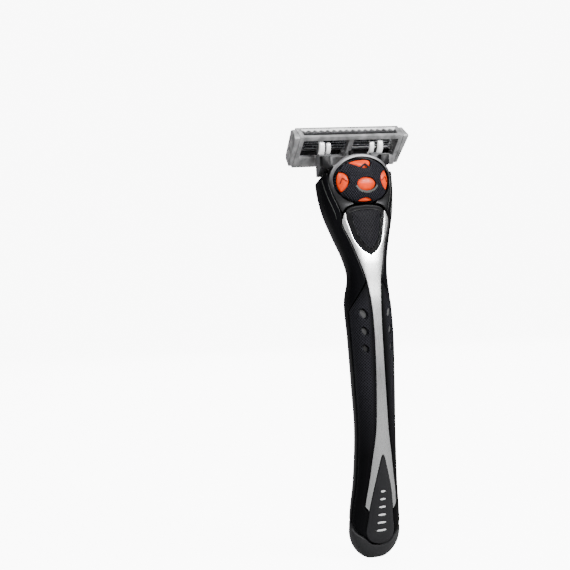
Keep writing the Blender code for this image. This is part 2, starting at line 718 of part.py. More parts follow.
def end_caps():
    profile = [(0.0, FOOT + 0.9), (0.9, FOOT), (DEPTH - 0.9, FOOT), (DEPTH, FOOT + 0.9),
               (DEPTH, HEIGHT - 1.3), (DEPTH - 1.3, HEIGHT), (0.4, HEIGHT), (0.0, HEIGHT - 0.4)]
    cap = extruded("cartridge_end_cap_right", profile, "YZ", CAP_START, HALF_LENGTH)
    work = bmesh.new()
    work.from_mesh(cap.data)
    for vert in work.verts:
        if vert.co.x > MM * (HALF_LENGTH - 0.01):
            y, z = vert.co.y / MM, vert.co.z / MM
            vert.co.x -= MM * (0.9 * (1 - z / HEIGHT) + 0.9 * y / DEPTH)
    work.to_mesh(cap.data)
    work.free()
    other = mirrored("cartridge_end_cap_left", cap)
    on_cartridge(other, "frame_grey")
    on_cartridge(cap, "frame_grey")


def blades():
    """Five bent blades, each a leg with its edge leaning towards the guard."""
    for k in range(5):
        z = BLADE_LOW + BLADE_PITCH * k
        profile = [(3.0, z + 0.35), (4.3, z + 0.35), (5.0, z - 0.35), (5.35, z - 0.35), (4.5, z + 0.57),
                   (3.0, z + 0.57)]
        blade = extruded(f"blade_{k + 1}", profile, "YZ", -17.2, 17.2)
        on_cartridge(blade, "steel")


def cartridge_trim():
    guard = box("guard_strip", (-18.4, 3.5, FOOT + 0.3), (18.4, DEPTH, 2.6))
    for x in [-17.5 + 2.5 * k for k in range(15)]:
        cut(guard, box("fin_gap", (x - 0.25, DEPTH - 0.6, FOOT), (x + 0.25, DEPTH + 1, 3.0)))
    on_cartridge(guard, "black_rubber")
    bar("lubrication_strip", (-17.3, 4.2, 9.1), (17.3, DEPTH, 10.1), "lube_blue")
    trimmer = [(2.15, 10.3), (2.75, 10.3), (2.75, 11.0), (2.35, 11.0)]
    on_cartridge(extruded("trimmer_blade", trimmer, "YZ", -16.9, 16.9), "steel")


def sector(inner, outer, start, stop, steps=9):
    """Ring sector round the pivot in Y and Z; degrees from straight back, towards the ridge."""
    def at(radius, degrees):
        a = math.radians(degrees)
        y = PIVOT.y - radius * (math.cos(a) * math.cos(TILT) + math.sin(a) * math.sin(TILT))
        z = PIVOT.z - radius * (math.cos(a) * math.sin(TILT) - math.sin(a) * math.cos(TILT))
        return (y, z)
    turns = [start + (stop - start) * k / steps for k in range(steps + 1)]
    return [at(outer, d) for d in turns] + [at(inner, d) for d in reversed(turns)]


def connector():
    """Clip that holds the cartridge by four curved bearings and stands on the fork's prongs."""
    side = None
    for outline, low, high in (
            (sector(2.9, 3.9, -33, 60), 9.8, 11.5),
            (sector(2.3, 3.1, -33, 60), 7.2, 8.7),
            ([(3.3, 126.6), (6.2, 123.6), (6.9, 123.6), (6.9, 129.3), (6.5, 130.55), (4.4, 131.0),
              (3.3, 129.9)], 7.2, 11.7)):
        piece = extruded("arm", outline, "YZ", low, high)
        side = join(side, piece) if side else piece
    other = mirrored("arm_left", side)
    bridge = box("cartridge_connector", (-7.6, 6.05, 125.2), (7.6, 6.85, 127.4))
    join(join(bridge, side), other)
    finish(bridge, "arm_grey", SWIVEL)


# ---------------------------------------------------------------- build

def main():
    clear_scene()
    handle_core()
    end_cap()
    front_spine()
    side_grips()
    side_shells()
    back_pieces()
    bezel()
    finish(front_plate("tail_inlay", INLAY_EDGE, 15, 5, 1.8), "black_satin")
    release_button()
    ball()
    pod()
    ejector()
    cartridge_frame()
    end_caps()
    blades()
    cartridge_trim()
    connector()


main()
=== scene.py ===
"""Looks of the cartridge razor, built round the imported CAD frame.

Lengths are millimetres in the CAD's frame unless a name says otherwise: +Z runs up the
handle, -Y is the decorated front, +X is to the right. MM turns them into metres.
"""

import math

import bmesh
import bpy
import numpy as np
from mathutils import Matrix, Vector


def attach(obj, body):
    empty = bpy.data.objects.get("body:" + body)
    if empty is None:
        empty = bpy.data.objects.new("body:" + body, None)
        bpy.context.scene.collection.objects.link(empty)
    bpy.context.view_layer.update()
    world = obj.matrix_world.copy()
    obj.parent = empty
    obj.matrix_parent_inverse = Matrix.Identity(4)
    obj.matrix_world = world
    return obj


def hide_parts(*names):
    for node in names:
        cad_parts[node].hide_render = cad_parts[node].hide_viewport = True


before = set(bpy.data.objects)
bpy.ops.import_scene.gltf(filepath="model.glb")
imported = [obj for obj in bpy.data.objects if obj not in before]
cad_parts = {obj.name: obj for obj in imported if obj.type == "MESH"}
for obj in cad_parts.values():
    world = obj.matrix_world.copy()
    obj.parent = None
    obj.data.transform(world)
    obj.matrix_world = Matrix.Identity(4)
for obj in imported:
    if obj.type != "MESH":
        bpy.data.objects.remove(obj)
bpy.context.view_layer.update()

MM = 0.001
# Seam between neighbouring pieces of the handle.
GAP = 0.22
SIDES = (("left", -1), ("right", 1))

# Handle sections: height, front, back, half width, superellipse exponent.
SECTIONS = [
    (9.0, -4.8, 4.6, 8.85, 2.4),
    (15.6, -5.9, 4.8, 8.35, 2.4),
    (26.0, -7.6, 3.8, 7.1, 2.5),
    (42.0, -9.0, 2.5, 6.5, 2.5),
    (56.0, -9.35, 2.8, 6.8, 2.6),
    (72.0, -9.2, 3.2, 7.3, 2.6),
    (83.0, -8.6, 4.6, 7.2, 2.6),
    (91.0, -7.5, 2.2, 6.6, 2.6),
    (97.0, -6.5, 3.5, 7.5, 2.6),
    (103.5, -5.2, 5.7, 9.5, 2.8),
    (111.5, -3.8, 7.7, 11.9, 3.1),
    (120.0, -2.9, 9.4, 12.8, 3.4),
    (132.0, -2.0, 9.6, 12.8, 3.4),
]
TAIL_ROUND = 9.0
TAIL_REACH = 9.6

# Half widths on the front face: height, half width.
SPINE_EDGE = [(15.2, 5.4), (17.4, 5.65), (21.0, 5.3), (26.0, 4.65), (33.5, 3.7), (42.0, 2.5),
              (52.0, 2.0), (67.0, 1.6), (80.0, 1.7), (90.0, 2.7), (94.0, 3.6), (102.5, 6.1),
              (105.5, 7.3), (108.5, 8.35), (111.0, 8.1), (113.0, 8.5), (117.5, 10.2), (121.5, 11.2),
              (125.0, 11.4)]
INLAY_EDGE = [(4.9, 0.25), (5.4, 2.4), (6.6, 4.1), (8.8, 5.1), (12.0, 4.75), (19.3, 3.75),
              (26.0, 2.4), (31.0, 1.1), (33.4, 0.45), (34.3, 0.0)]
BUTTON_EDGE = [(98.6, 0.0), (98.72, 0.7), (99.2, 1.7), (100.6, 3.15), (102.9, 4.7), (107.5, 6.1),
               (111.0, 6.75), (112.4, 6.6), (113.35, 5.6), (113.9, 3.6), (114.15, 0.3)]
# The strip's lowest height and its length, and where its foot meets the grips.
STRIP_LOW = 15.2
STRIP_LENGTH = 96.1
STRIP_FOOT = 17.4
FOOT_BLEND = 1.7
# How far the strip's back lies below the skin: height, depth.
STRIP_DEPTH = [(96.0, 1.8), (101.0, 1.1), (104.0, 0.7), (111.4, 0.5)]
# How far the strip lies below the grips beside it: height, depth.
STRIP_RECESS = [(22.0, 0.0), (32.0, 0.3), (86.0, 0.3), (96.0, 0.0)]
# Edge of the end cap round the section: angle, height.
END_SEAM = [(0.0, 4.4), (0.3, 4.9), (0.5, 5.9), (0.65, 7.2), (1.2, 9.4), (1.9, 12.4), (2.4, 13.2),
            (3.2, 13.4)]
GRIP_TOP = 89.2
BACK_SPLIT = 91.5

# Head
BALL_Z = 121.8
OPENING = (10.3, 7.6)
DOME = (9.85, 7.15)
DOME_RISE = 2.5
BEZEL_OUTER = (11.4, 8.7)
SHOULDER_Z = 124.2
SHOULDER_SLOPE = 0.45
SPOT = (0.25, -0.95)
KEYSTONE = [(7.9, 112.1), (7.4, 112.95), (6.6, 113.7), (5.2, 114.25), (3.9, 114.5)]

# Cartridge, in its own upright frame: back face at depth 0, foot at height 0.
TILT = math.radians(40.2)
PIVOT = Vector((0.0, 7.2, 133.3))
PIVOT_DEPTH = 2.0
PIVOT_RISE = 5.5
FOOT = -1.0
HEIGHT = 11.0
DEPTH = 5.6
HALF_LENGTH = 20.8
CAP_START = 18.9
BLADE_PITCH = 1.05
BLADE_LOW = 3.75


# ---- curves and the handle's skin

def through(knots, at, column=1):
    """Cubic Hermite curve through knots sorted by their first column, at an array of places."""
    table = np.array(knots, float)
    x, y = table[:, 0], table[:, column]
    slope = np.empty_like(y)
    slope[1:-1] = (y[2:] - y[:-2]) / (x[2:] - x[:-2])
    slope[0] = (y[1] - y[0]) / (x[1] - x[0])
    slope[-1] = (y[-1] - y[-2]) / (x[-1] - x[-2])
    at = np.clip(at, x[0], x[-1])
    i = np.clip(np.searchsorted(x, at, side="right") - 1, 0, len(x) - 2)
    span = x[i + 1] - x[i]
    t = (at - x[i]) / span
    return ((2 * t**3 - 3 * t**2 + 1) * y[i] + (t**3 - 2 * t**2 + t) * span * slope[i]
            + (3 * t**2 - 2 * t**3) * y[i + 1] + (t**3 - t**2) * span * slope[i + 1])


def section(z):
    """Half width, half depth, centre and exponent of the handle at heights z."""
    z = np.asarray(z, float)
    front, back, half, power = (through(SECTIONS, z, k) for k in (1, 2, 3, 4))
    shrink = np.sqrt(1 - (np.clip(TAIL_ROUND - z, 0, None) / TAIL_REACH) ** 2)
    middle = (back + front) / 2 * np.clip(z / TAIL_ROUND, 0, 1)
    return half * shrink, (back - front) / 2 * shrink, middle, power


def skin(z, angle, inset=0.0):
    """Points of the handle's surface: angle 0 is the front, pi the back."""
    half, deep, middle, power = section(z)
    s, c = np.sin(angle), np.cos(angle)
    x = (half - inset) * np.sign(s) * np.abs(s) ** (2 / power)
    y = middle - (deep - inset) * np.sign(c) * np.abs(c) ** (2 / power)
    return np.stack(np.broadcast_arrays(x, y, z), axis=-1)


def angle_of(z, x, inset=0.0):
    """The angle on the front half where the surface has this x."""
    half, _, _, power = section(z)
    return np.arcsin(np.clip(x / (half - inset), 0, 1) ** (power / 2))


def front_y(x, z):
    """Depth of the handle's front at a place."""
    half, deep, middle, power = section(z)
    return middle - deep * (1 - np.clip(np.abs(x) / half, 0, 0.999) ** power) ** (1 / power)


def moved(z, angle, distance):
    """The angle this far along the section, towards the back."""
    step = 0.01
    speed = np.linalg.norm(skin(z, angle + step) - skin(z, angle), axis=-1) / step
    return angle + distance / np.maximum(speed, 1.0)


def spine_edge(z, away=0.0):
    return moved(z, angle_of(z, through(SPINE_EDGE, z)), away)


def back_edge(z):
    return np.radians(148 - 10 * np.clip((z - 90) / 20, 0, 1))


def grip_front(z):
    """Front edge of the side grip: beside the strip, and beside the inlay below it."""
    beside = moved(z, angle_of(z, through(INLAY_EDGE, z)), 1.3 * GAP)
    foot = spine_edge(STRIP_FOOT, GAP)
    share = np.clip((z - STRIP_FOOT) / FOOT_BLEND + 1, 0, 1)
    return np.where(z >= STRIP_FOOT, spine_edge(z, GAP), beside + (foot - beside) * share)


def grip_back(z):
    """Back edge of the side grip, whose top is cut off on a slant."""
    share = np.clip((90.0 - z) / 9.5, 0, 1)
    start = angle_of(z, through(SPINE_EDGE, z))
    return start + (math.radians(86) - start) * share


def end_seam(angle):
    return through(END_SEAM, angle)


# ---- mesh tools

def weld(mesh, reach):
    """Joins the points of a mesh that lie within a reach in metres, and turns its faces outwards."""
    work = bmesh.new()
    work.from_mesh(mesh)
    bmesh.ops.remove_doubles(work, verts=work.verts, dist=reach)
    bmesh.ops.recalc_face_normals(work, faces=work.faces)
    work.to_mesh(mesh)
    work.free()


def bevel(work, edges, offset, segments=2):
    bmesh.ops.bevel(work, geom=edges, offset=MM * offset, segments=segments, profile=0.5,
                    affect="EDGES", clamp_overlap=True)


def sharp_edges(work, degrees):
    return [e for e in work.edges if e.calc_face_angle(0) > math.radians(degrees)]


def piece(name, points, faces, body, slot, finish, hides=(), crease=40):
    """A closed mesh in place, riding on its body, with its material and the nodes it stands for."""
    mesh = bpy.data.meshes.new(name)
    mesh.from_pydata((np.asarray(points, float) * MM).tolist(), [], faces)
    weld(mesh, 1e-6)
    return dress(bpy.data.objects.new(name, mesh), body, slot, finish, hides, crease)


WORN = {}


def dress(obj, body, slot, finish, hides=(), crease=40):
    """Gives a piece its body and its material from MATERIALS, notes its body, slot and key for
    mirrored copies, and hides the nodes it stands for.
    """
    WORN[obj.name] = body, slot, finish
    if not obj.users_collection:
        bpy.context.scene.collection.objects.link(obj)
    obj.data.materials.clear()
    obj.data.materials.append(MATERIALS[finish])
    obj.data.shade_smooth()
    obj.data.set_sharp_from_angle(angle=math.radians(crease))
    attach(obj, body)
    if hides:
        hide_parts(*hides)
    return obj


def grid_faces(rows, columns, start=0):
    r, c = np.meshgrid(np.arange(rows - 1), np.arange(columns - 1), indexing="ij")
    low = (start + r * columns + c).ravel()
    return np.stack([low, low + 1, low + columns + 1, low + columns], axis=1).tolist()


def ring_faces(spokes, rows):
    """Faces between neighbouring rows of points, each row a closed ring."""
    ring = np.arange(spokes)
    after = (ring + 1) % spokes
    faces = []
    for low in range(0, rows * spokes, spokes):
        corners = (low + ring, low + after, low + spokes + after, low + spokes + ring)
        faces += np.stack(corners, 1).tolist()
    return faces


def fan_faces(spokes, start, peak):
    """Faces from a closed ring of points to one point."""
    return [(start + k, start + (k + 1) % spokes, peak) for k in range(spokes)]


def sheet_mesh(outer, inner):
    """Points and faces of a closed solid between two grids of points."""
    rows, columns = outer.shape[:2]
    count = rows * columns
    points = np.concatenate([outer.reshape(-1, 3), inner.reshape(-1, 3)])
    faces = grid_faces(rows, columns) + grid_faces(rows, columns, count)
    rim = (list(range(columns)) + [r * columns + columns - 1 for r in range(1, rows)]
           + [(rows - 1) * columns + c for c in range(columns - 2, -1, -1)]
           + [r * columns for r in range(rows - 2, 0, -1)])
    faces += [(a, b, b + count, a + count) for a, b in zip(rim, rim[1:] + rim[:1])]
    return points, faces


def both_sides(points, faces):
    """Adds the mirror image across x = 0 and drops the faces that lie on that plane."""
    points = np.asarray(points, float)
    flat = np.abs(points[:, 0]) < 1e-4
    faces = [f for f in faces if not all(flat[i] for i in f)]
    count = len(points)
    other = [tuple(i + count for i in reversed(f)) for f in faces]
    return np.concatenate([points, points * (-1, 1, 1)]), faces + other


def spaced(length, step, rim=0.5):
    """Shares from 0 to 1 along a length, closer together near both ends."""
    ends = rim * np.array([0.0, 0.1, 0.3, 0.6])
    middle = np.linspace(rim, length - rim, max(2, round((length - 2 * rim) / step) + 1))
    return np.concatenate([ends, middle, (length - ends)[::-1]]) / length


def rounded(distance, radius):
    """How far a rounded edge drops, at a distance in from the edge."""
    left = radius - np.clip(distance, 0, radius)
    return radius - np.sqrt(np.clip(radius**2 - left**2, 0, None))


def smooth(value, low, high):
    t = np.clip((value - low) / (high - low), 0, 1)
    return t * t * (3 - 2 * t)


def run_along(points, axis=0):
    """How far each point lies from the first one, along an axis of a line or grid."""
    run = np.cumsum(np.linalg.norm(np.diff(points, axis=axis), axis=-1), axis=axis)
    return np.concatenate([np.zeros_like(np.take(run, [0], axis=axis)), run], axis=axis)


def placed(line, run, at):
    """Points of a flat line at these distances along it."""
    return np.stack([np.interp(at, run, line[:, k]) for k in (0, 1)], axis=1)


def edge_distance(points):
    """Distance of each grid point from the grid's rim, and from the start of its row."""
    found = []
    for axis in (0, 1):
        run = run_along(points, axis)
        found += [run, np.take(run, [-1], axis=axis) - run]
    return np.minimum.reduce(found), found[2]


def panel(where, across, along, step, depth, radius=0.25, relief=None):
    """Grids of a curved plate on the handle; where(u, v) gives heights and angles."""
    u, v = np.meshgrid(spaced(across, step), spaced(along, step))
    z, angle = where(u, v)
    edge, run = edge_distance(skin(z, angle))
    inset = rounded(edge, radius)
    if relief:
        inset = inset - relief(z, run, edge)
    return skin(z, angle, inset), skin(z, angle, depth)


def mirrored(name, obj, *hides):
    """The same piece on the other side."""
    mesh = obj.data.copy()
    mesh.transform(Matrix.Scale(-1, 4, (1, 0, 0)))
    mesh.flip_normals()
    return dress(bpy.data.objects.new(name, mesh), *WORN[obj.name], hides)


def resampled(outline, step):
    """A closed outline as evenly spaced points."""
    line = np.array(outline + outline[:1], float)
    run = run_along(line)
    at = np.linspace(0, run[-1], max(8, round(run[-1] / step)), endpoint=False)
    return placed(line, run, at)


def eased(outline, rounds=2):
    """A closed outline with its corners cut round."""
    line = np.array(outline, float)
    for _ in range(rounds):
        after = np.roll(line, -1, axis=0)
        line = np.stack([0.75 * line + 0.25 * after, 0.25 * line + 0.75 * after], axis=1)
        line = line.reshape(-1, 2)
    return line.tolist()


def distance_to(points, outline):
    """Distance from each point to a closed outline."""
    start, end = outline, np.roll(outline, -1, axis=0)
    along = end - start
    best = np.full(len(points), 1e9)
    for a, d in zip(start, along):
        t = np.clip(((points - a) @ d) / max(d @ d, 1e-12), 0, 1)
        best = np.minimum(best, np.linalg.norm(points - (a + t[:, None] * d), axis=1))
    return best


def inside(points, outline):
    """Which points lie within a closed outline."""
    found = np.zeros(len(points), bool)
    x, z = points[:, 0], points[:, 1]
    for (ax, az), (bx, bz) in zip(outline, np.roll(outline, -1, axis=0)):
        crosses = (az > z) != (bz > z)
        with np.errstate(divide="ignore", invalid="ignore"):
            at = ax + (z - az) * (bx - ax) / (bz - az)
        found ^= crosses & (x < at)
    return found


def plate(outline, centre, surface, relief, depth, step=0.3):
    """Points and faces of a plate over an outline in X and Z, lying on surface(x, z).

    relief(x, z, d) lifts its front, where d is the distance in from the edge.
    """
    rim = resampled(outline, step)
    spokes = len(rim)
    middle = np.array(centre, float)
    reach = np.linalg.norm(rim - middle, axis=1).max()
    count = max(6, round(reach / step))
    shares = 1 - spaced(reach, reach / count, 0.6)
    shares = shares[shares > 0.5 / count]
    layers = middle + (rim - middle) * shares[:, None, None]
    flat = layers.reshape(-1, 2)
    d = distance_to(flat, rim)
    x, z = flat[:, 0], flat[:, 1]
    front = np.stack([x, surface(x, z) - relief(x, z, d), z], axis=1)
    x, z = middle[:1], middle[1:]
    tip = np.stack([x, surface(x, z) - relief(x, z, np.array([reach])), z], axis=1)
    back = np.stack([rim[:, 0], surface(rim[:, 0], rim[:, 1]) + depth, rim[:, 1]], axis=1)
    points = np.concatenate([front, tip, back])
    rows, peak = len(shares) - 1, len(front)
    faces = ring_faces(spokes, rows) + fan_faces(spokes, rows * spokes, peak)
    low = peak + 1
    for a in range(spokes):
        b = (a + 1) % spokes
        faces.append((a, low + a, low + b, b))
    faces.append(tuple(range(low, low + spokes)))
    return points, faces


def closed_edges(edges, step=0.25):
    """The full outline of a shape from its half widths at each height."""
    share = np.linspace(0, 1, round((edges[-1][0] - edges[0][0]) / step) + 1)
    z = edges[0][0] + (edges[-1][0] - edges[0][0]) * (0.5 - 0.5 * np.cos(math.pi * share))
    half = np.maximum(through(edges, z), 0.0)
    right = list(zip(half.tolist(), z.tolist()))
    return right + [(-x, h) for x, h in reversed(right) if x > 0.02]


def shrunk(outline, by):
    """An outline moved inwards by a distance."""
    line = resampled(outline, 0.25)
    ahead = np.roll(line, -1, axis=0) - np.roll(line, 1, axis=0)
    normal = np.stack([-ahead[:, 1], ahead[:, 0]], axis=1)
    normal /= np.linalg.norm(normal, axis=1)[:, None] + 1e-9
    area = np.sum(line[:, 0] * np.roll(line[:, 1], -1) - line[:, 1] * np.roll(line[:, 0], -1))
    moved_in = line + normal * by * (1 if area > 0 else -1)
    keep = distance_to(moved_in, line) > 0.93 * by
    return moved_in[keep].tolist()


def extruded(name, outline, plane, low, high, edge=0, segments=2):
    """An outline in the plane 'XZ', 'YZ' or 'XY', pushed along the third axis and bevelled."""
    third = {"XZ": 1, "YZ": 0, "XY": 2}[plane]
    first, second = (k for k in (0, 1, 2) if k != third)
    work = bmesh.new()
    verts = []
    for a, b in outline:
        place = [0.0, 0.0, 0.0]
        place[first], place[second], place[third] = MM * a, MM * b, MM * low
        verts.append(work.verts.new(place))
    face = work.faces.new(verts)
    push = bmesh.ops.extrude_face_region(work, geom=[face])["geom"]
    shift = [0.0, 0.0, 0.0]
    shift[third] = MM * (high - low)
    pushed = [g for g in push if isinstance(g, bmesh.types.BMVert)]
    bmesh.ops.translate(work, vec=shift, verts=pushed)
    bmesh.ops.recalc_face_normals(work, faces=work.faces)
    if edge:
        bevel(work, sharp_edges(work, 30), edge, segments)
    mesh = bpy.data.meshes.new(name)
    work.to_mesh(mesh)
    work.free()
    return bpy.data.objects.new(name, mesh)


def ellipse(reach, count, centre=(0.0, 0.0)):
    turns = np.linspace(0, 2 * math.pi, count, endpoint=False)
    return [(centre[0] + reach[0] * math.cos(a), centre[1] + reach[1] * math.sin(a)) for a in turns]


def rectangle(low, high):
    return [(low[0], low[1]), (high[0], low[1]), (high[0], high[1]), (low[0], high[1])]


def block(name, low, high, edge=0):
    return extruded(name, rectangle(low[:2], high[:2]), "XY", low[2], high[2], edge)


def combine(obj, others, operation="DIFFERENCE"):
    """Cuts the others from a piece, or joins them to it, and removes them."""
    scene = bpy.context.scene.collection
    for item in [obj, *others]:
        if not item.users_collection:
            scene.objects.link(item)
    for other in others:
        modifier = obj.modifiers.new("combine", "BOOLEAN")
        modifier.operation = operation
        modifier.solver = "EXACT"
        modifier.object = other
        bpy.context.view_layer.update()
        made = obj.evaluated_get(bpy.context.evaluated_depsgraph_get())
        mesh = bpy.data.meshes.new_from_object(made)
        obj.modifiers.clear()
        weld(mesh, 2e-6)
        obj.data = mesh
        bpy.data.objects.remove(other, do_unlink=True)
    return obj


def softened(obj, offset):
    """Bevels the sharp edges of a piece."""
    work = bmesh.new()
    work.from_mesh(obj.data)
    bmesh.ops.dissolve_limit(work, angle_limit=math.radians(1), verts=work.verts, edges=work.edges)
    bevel(work, [e for e in sharp_edges(work, 50) if e.is_manifold], offset)
    work.to_mesh(obj.data)
    work.free()


# ---- materials

# Sockets of a colour mix node.
MIX_SHARE, MIX_FIRST, MIX_SECOND, MIX_RESULT = 0, 6, 7, 2


class Finish:
    """Builds one node material from a few layers of procedural detail."""

    def __init__(self, name, color, roughness, metallic=0.0, coat=0.0, shine=0.5):
        self.made = bpy.data.materials.new(name)
        self.made.use_nodes = True
        self.tree = self.made.node_tree
        self.shader = self.tree.nodes["Principled BSDF"]
        self.shader.inputs["Base Color"].default_value = (*color, 1.0)
        self.shader.inputs["Roughness"].default_value = roughness
        self.shader.inputs["Metallic"].default_value = metallic
        self.shader.inputs["Coat Weight"].default_value = coat
        self.shader.inputs["Coat Roughness"].default_value = 0.06
        self.shader.inputs["Specular IOR Level"].default_value = shine
        self.color, self.roughness = color, roughness
        self.where = self.tree.nodes.new("ShaderNodeTexCoord").outputs["Object"]
        self.normal = None

    def node(self, kind, **values):
        made = self.tree.nodes.new(kind)
        for key, value in values.items():
            made.inputs[key].default_value = value
        return made

    def link(self, source, target):
        self.tree.links.new(source, target)

    def feed(self, target, value):
        """Links a socket to another one, or sets it to a plain value."""
        if isinstance(value, bpy.types.NodeSocket):
            self.link(value, target)
        else:
            target.default_value = value

    def colored(self, blend, share, first, second):
        """Makes the colour a mix of two others, each a socket or a value."""
        mix = self.tree.nodes.new("ShaderNodeMix")
        mix.data_type, mix.blend_type = "RGBA", blend
        for key, value in ((MIX_SHARE, share), (MIX_FIRST, first), (MIX_SECOND, second)):
            self.feed(mix.inputs[key], value)
        self.link(mix.outputs[MIX_RESULT], self.shader.inputs["Base Color"])
        return self

    def noise(self, scale, detail=3.0, stretch=(1, 1, 1)):
        """Noise whose scale is in features a millimetre."""
        place = self.node("ShaderNodeMapping", Scale=[s / MM * scale for s in stretch])
        self.link(self.where, place.inputs["Vector"])
        made = self.node("ShaderNodeTexNoise", Scale=1.0, Detail=detail)
        self.link(place.outputs["Vector"], made.inputs["Vector"])
        return made.outputs["Fac"]

    def ranged(self, source, low, high, start=0.3, end=0.7):
        made = self.tree.nodes.new("ShaderNodeMapRange")
        limits = {"From Min": start, "From Max": end, "To Min": low, "To Max": high}
        for key, value in limits.items():
            made.inputs[key].default_value = value
        self.link(source, made.inputs["Value"])
        return made.outputs["Result"]

    def tinted(self, source, share, other=None):
        """Colour that wanders between the base and a second colour."""
        second = other or tuple(min(1.0, c * (1 + share)) for c in self.color)
        first = tuple(c * (1 - share) for c in self.color) if other is None else self.color
        return self.colored("MIX", source, (*first, 1.0), (*second, 1.0))

    def painted_shade_below(self, low, high, share):
        """Painted shade: multiplies the colour by a share below one height, rising to 1 above another.
        """
        before = self.shader.inputs["Base Color"].links[0].from_socket
        painted_shade = self.ranged(self.place()[2], share, 1.0, low, high)
        return self.colored("MULTIPLY", 1.0, before, painted_shade)

    def rough(self, source, spread):
        low, high = max(0.02, self.roughness - spread), min(1.0, self.roughness + spread)
        self.link(self.ranged(source, low, high), self.shader.inputs["Roughness"])
        return self

    def bumped(self, source, height):
        """Surface relief of a height in millimetres."""
        bump = self.node("ShaderNodeBump", Strength=1.0, Distance=height * MM)
        self.link(source, bump.inputs["Height"])
        if self.normal:
            self.link(self.normal, bump.inputs["Normal"])
        self.normal = bump.outputs["Normal"]
        self.link(self.normal, self.shader.inputs["Normal"])
        return self

    def math(self, operation, *terms):
        made = self.tree.nodes.new("ShaderNodeMath")
        made.operation = operation
        for target, term in zip(made.inputs, terms):
            self.feed(target, term)
        return made.outputs[0]

    def place(self):
        """The object's X, Y and Z in millimetres."""
        parts = self.tree.nodes.new("ShaderNodeSeparateXYZ")
        self.link(self.where, parts.inputs[0])
        return [self.math("MULTIPLY", parts.outputs[k], 1 / MM) for k in range(3)]

    def net(self, across, up, pitch, line):
        """1 on thin lines that cross in a diamond net, and 0 in the cells between them."""
        a, b = self.math("MULTIPLY", across, 1 / pitch), self.math("MULTIPLY", up, 0.8 / pitch)
        sides = [self.math("PINGPONG", self.math(step, a, b), 0.5) for step in ("ADD", "SUBTRACT")]
        return self.ranged(self.math("MINIMUM", *sides), 1.0, 0.0, line * 0.5, line)


def plastic(name, color, roughness, grain, height, spread=0.06, tint=0.08, coat=0.0, metallic=0.0,
            shine=0.5):
    """Moulded plastic: a fine spark-eroded grain over slow changes of tone and gloss."""
    made = Finish(name, color, roughness, metallic, coat, shine)
    made.tinted(made.ranged(made.noise(0.35), 0.0, 1.0), tint)
    made.rough(made.noise(1.3, 4.0), spread)
    made.bumped(made.noise(grain, 2.0), height)
    return made.made


def netted(made, net, lines, spread, height, grain):
    """Gives a rubber finish its raised net, and its gloss and grain between the lines."""
    made.tinted(net, 0.0, lines)
    made.rough(made.noise(1.3, 4.0), spread)
    made.bumped(net, height).bumped(made.noise(7.0, 2.0), grain)
    return made.made


def knurled_rubber(name, color, lines, roughness, pitch, line, shine):
    """Rubber moulded with a net of thin raised lines."""
    made = Finish(name, color, roughness, shine=shine)
    x, _, z = made.place()
    return netted(made, made.net(x, z, pitch, line), lines, 0.06, 0.08, 0.006)


def grip_rubber(name, color, lines, roughness, pitch, line, shine):
    """Soft rubber whose net of raised lines fades out towards its lower end and its edges."""
    made = Finish(name, color, roughness, shine=shine)
    x, y, z = made.place()
    turn = made.math("ARCTAN2", made.math("ABSOLUTE", x), made.math("MULTIPLY", y, -1))
    net = made.net(made.math("MULTIPLY", turn, 7.5), z, pitch, line)
    for source, *span in ((z, 34, 58), (z, 88, 82), (turn, 1.45, 1.15), (turn, 0.25, 0.4)):
        net = made.math("MULTIPLY", net, made.ranged(source, 0.0, 1.0, *span))
    return netted(made, net, lines, 0.08, 0.06, 0.008)


def lined_metal(name, color, roughness, noise, height, tint, spread, painted_shade=None):
    """Metal with fine lines from stretched noise, which may carry painted shade that darkens it
    towards its lower end.
    """
    made = Finish(name, color, roughness, 1.0)
    lines = made.noise(*noise)
    made.tinted(made.ranged(lines, 0.0, 1.0), tint)
    # painted shade: darker towards the lower end
    if painted_shade:
        made.painted_shade_below(*painted_shade)
    made.rough(lines, spread)
    made.bumped(lines, height)
    return made.made


def brushed(name, color, roughness, height, tint=0.05, painted_shade=None):
    """Metal brushed along the handle."""
    along = (9.0, 3.0, (1, 1, 0.012))
    return lined_metal(name, color, roughness, along, height, tint, 0.02, painted_shade)


def smooth_rubber(name, color, roughness, painted_shade):
    """Smooth rubber with painted shade that darkens it towards its lower end."""
    made = Finish(name, color, roughness, shine=0.2)
    made.tinted(made.ranged(made.noise(0.35), 0.0, 1.0), 0.08).painted_shade_below(*painted_shade)
    made.rough(made.noise(1.3, 4.0), 0.06).bumped(made.noise(5.0, 2.0), 0.003)
    return made.made


def ground_steel(name, color, roughness):
    """Steel ground along the blades."""
    return lined_metal(name, color, roughness, (12.0, 2.0, (0.02, 1, 1)), 0.002, 0.06, 0.06)


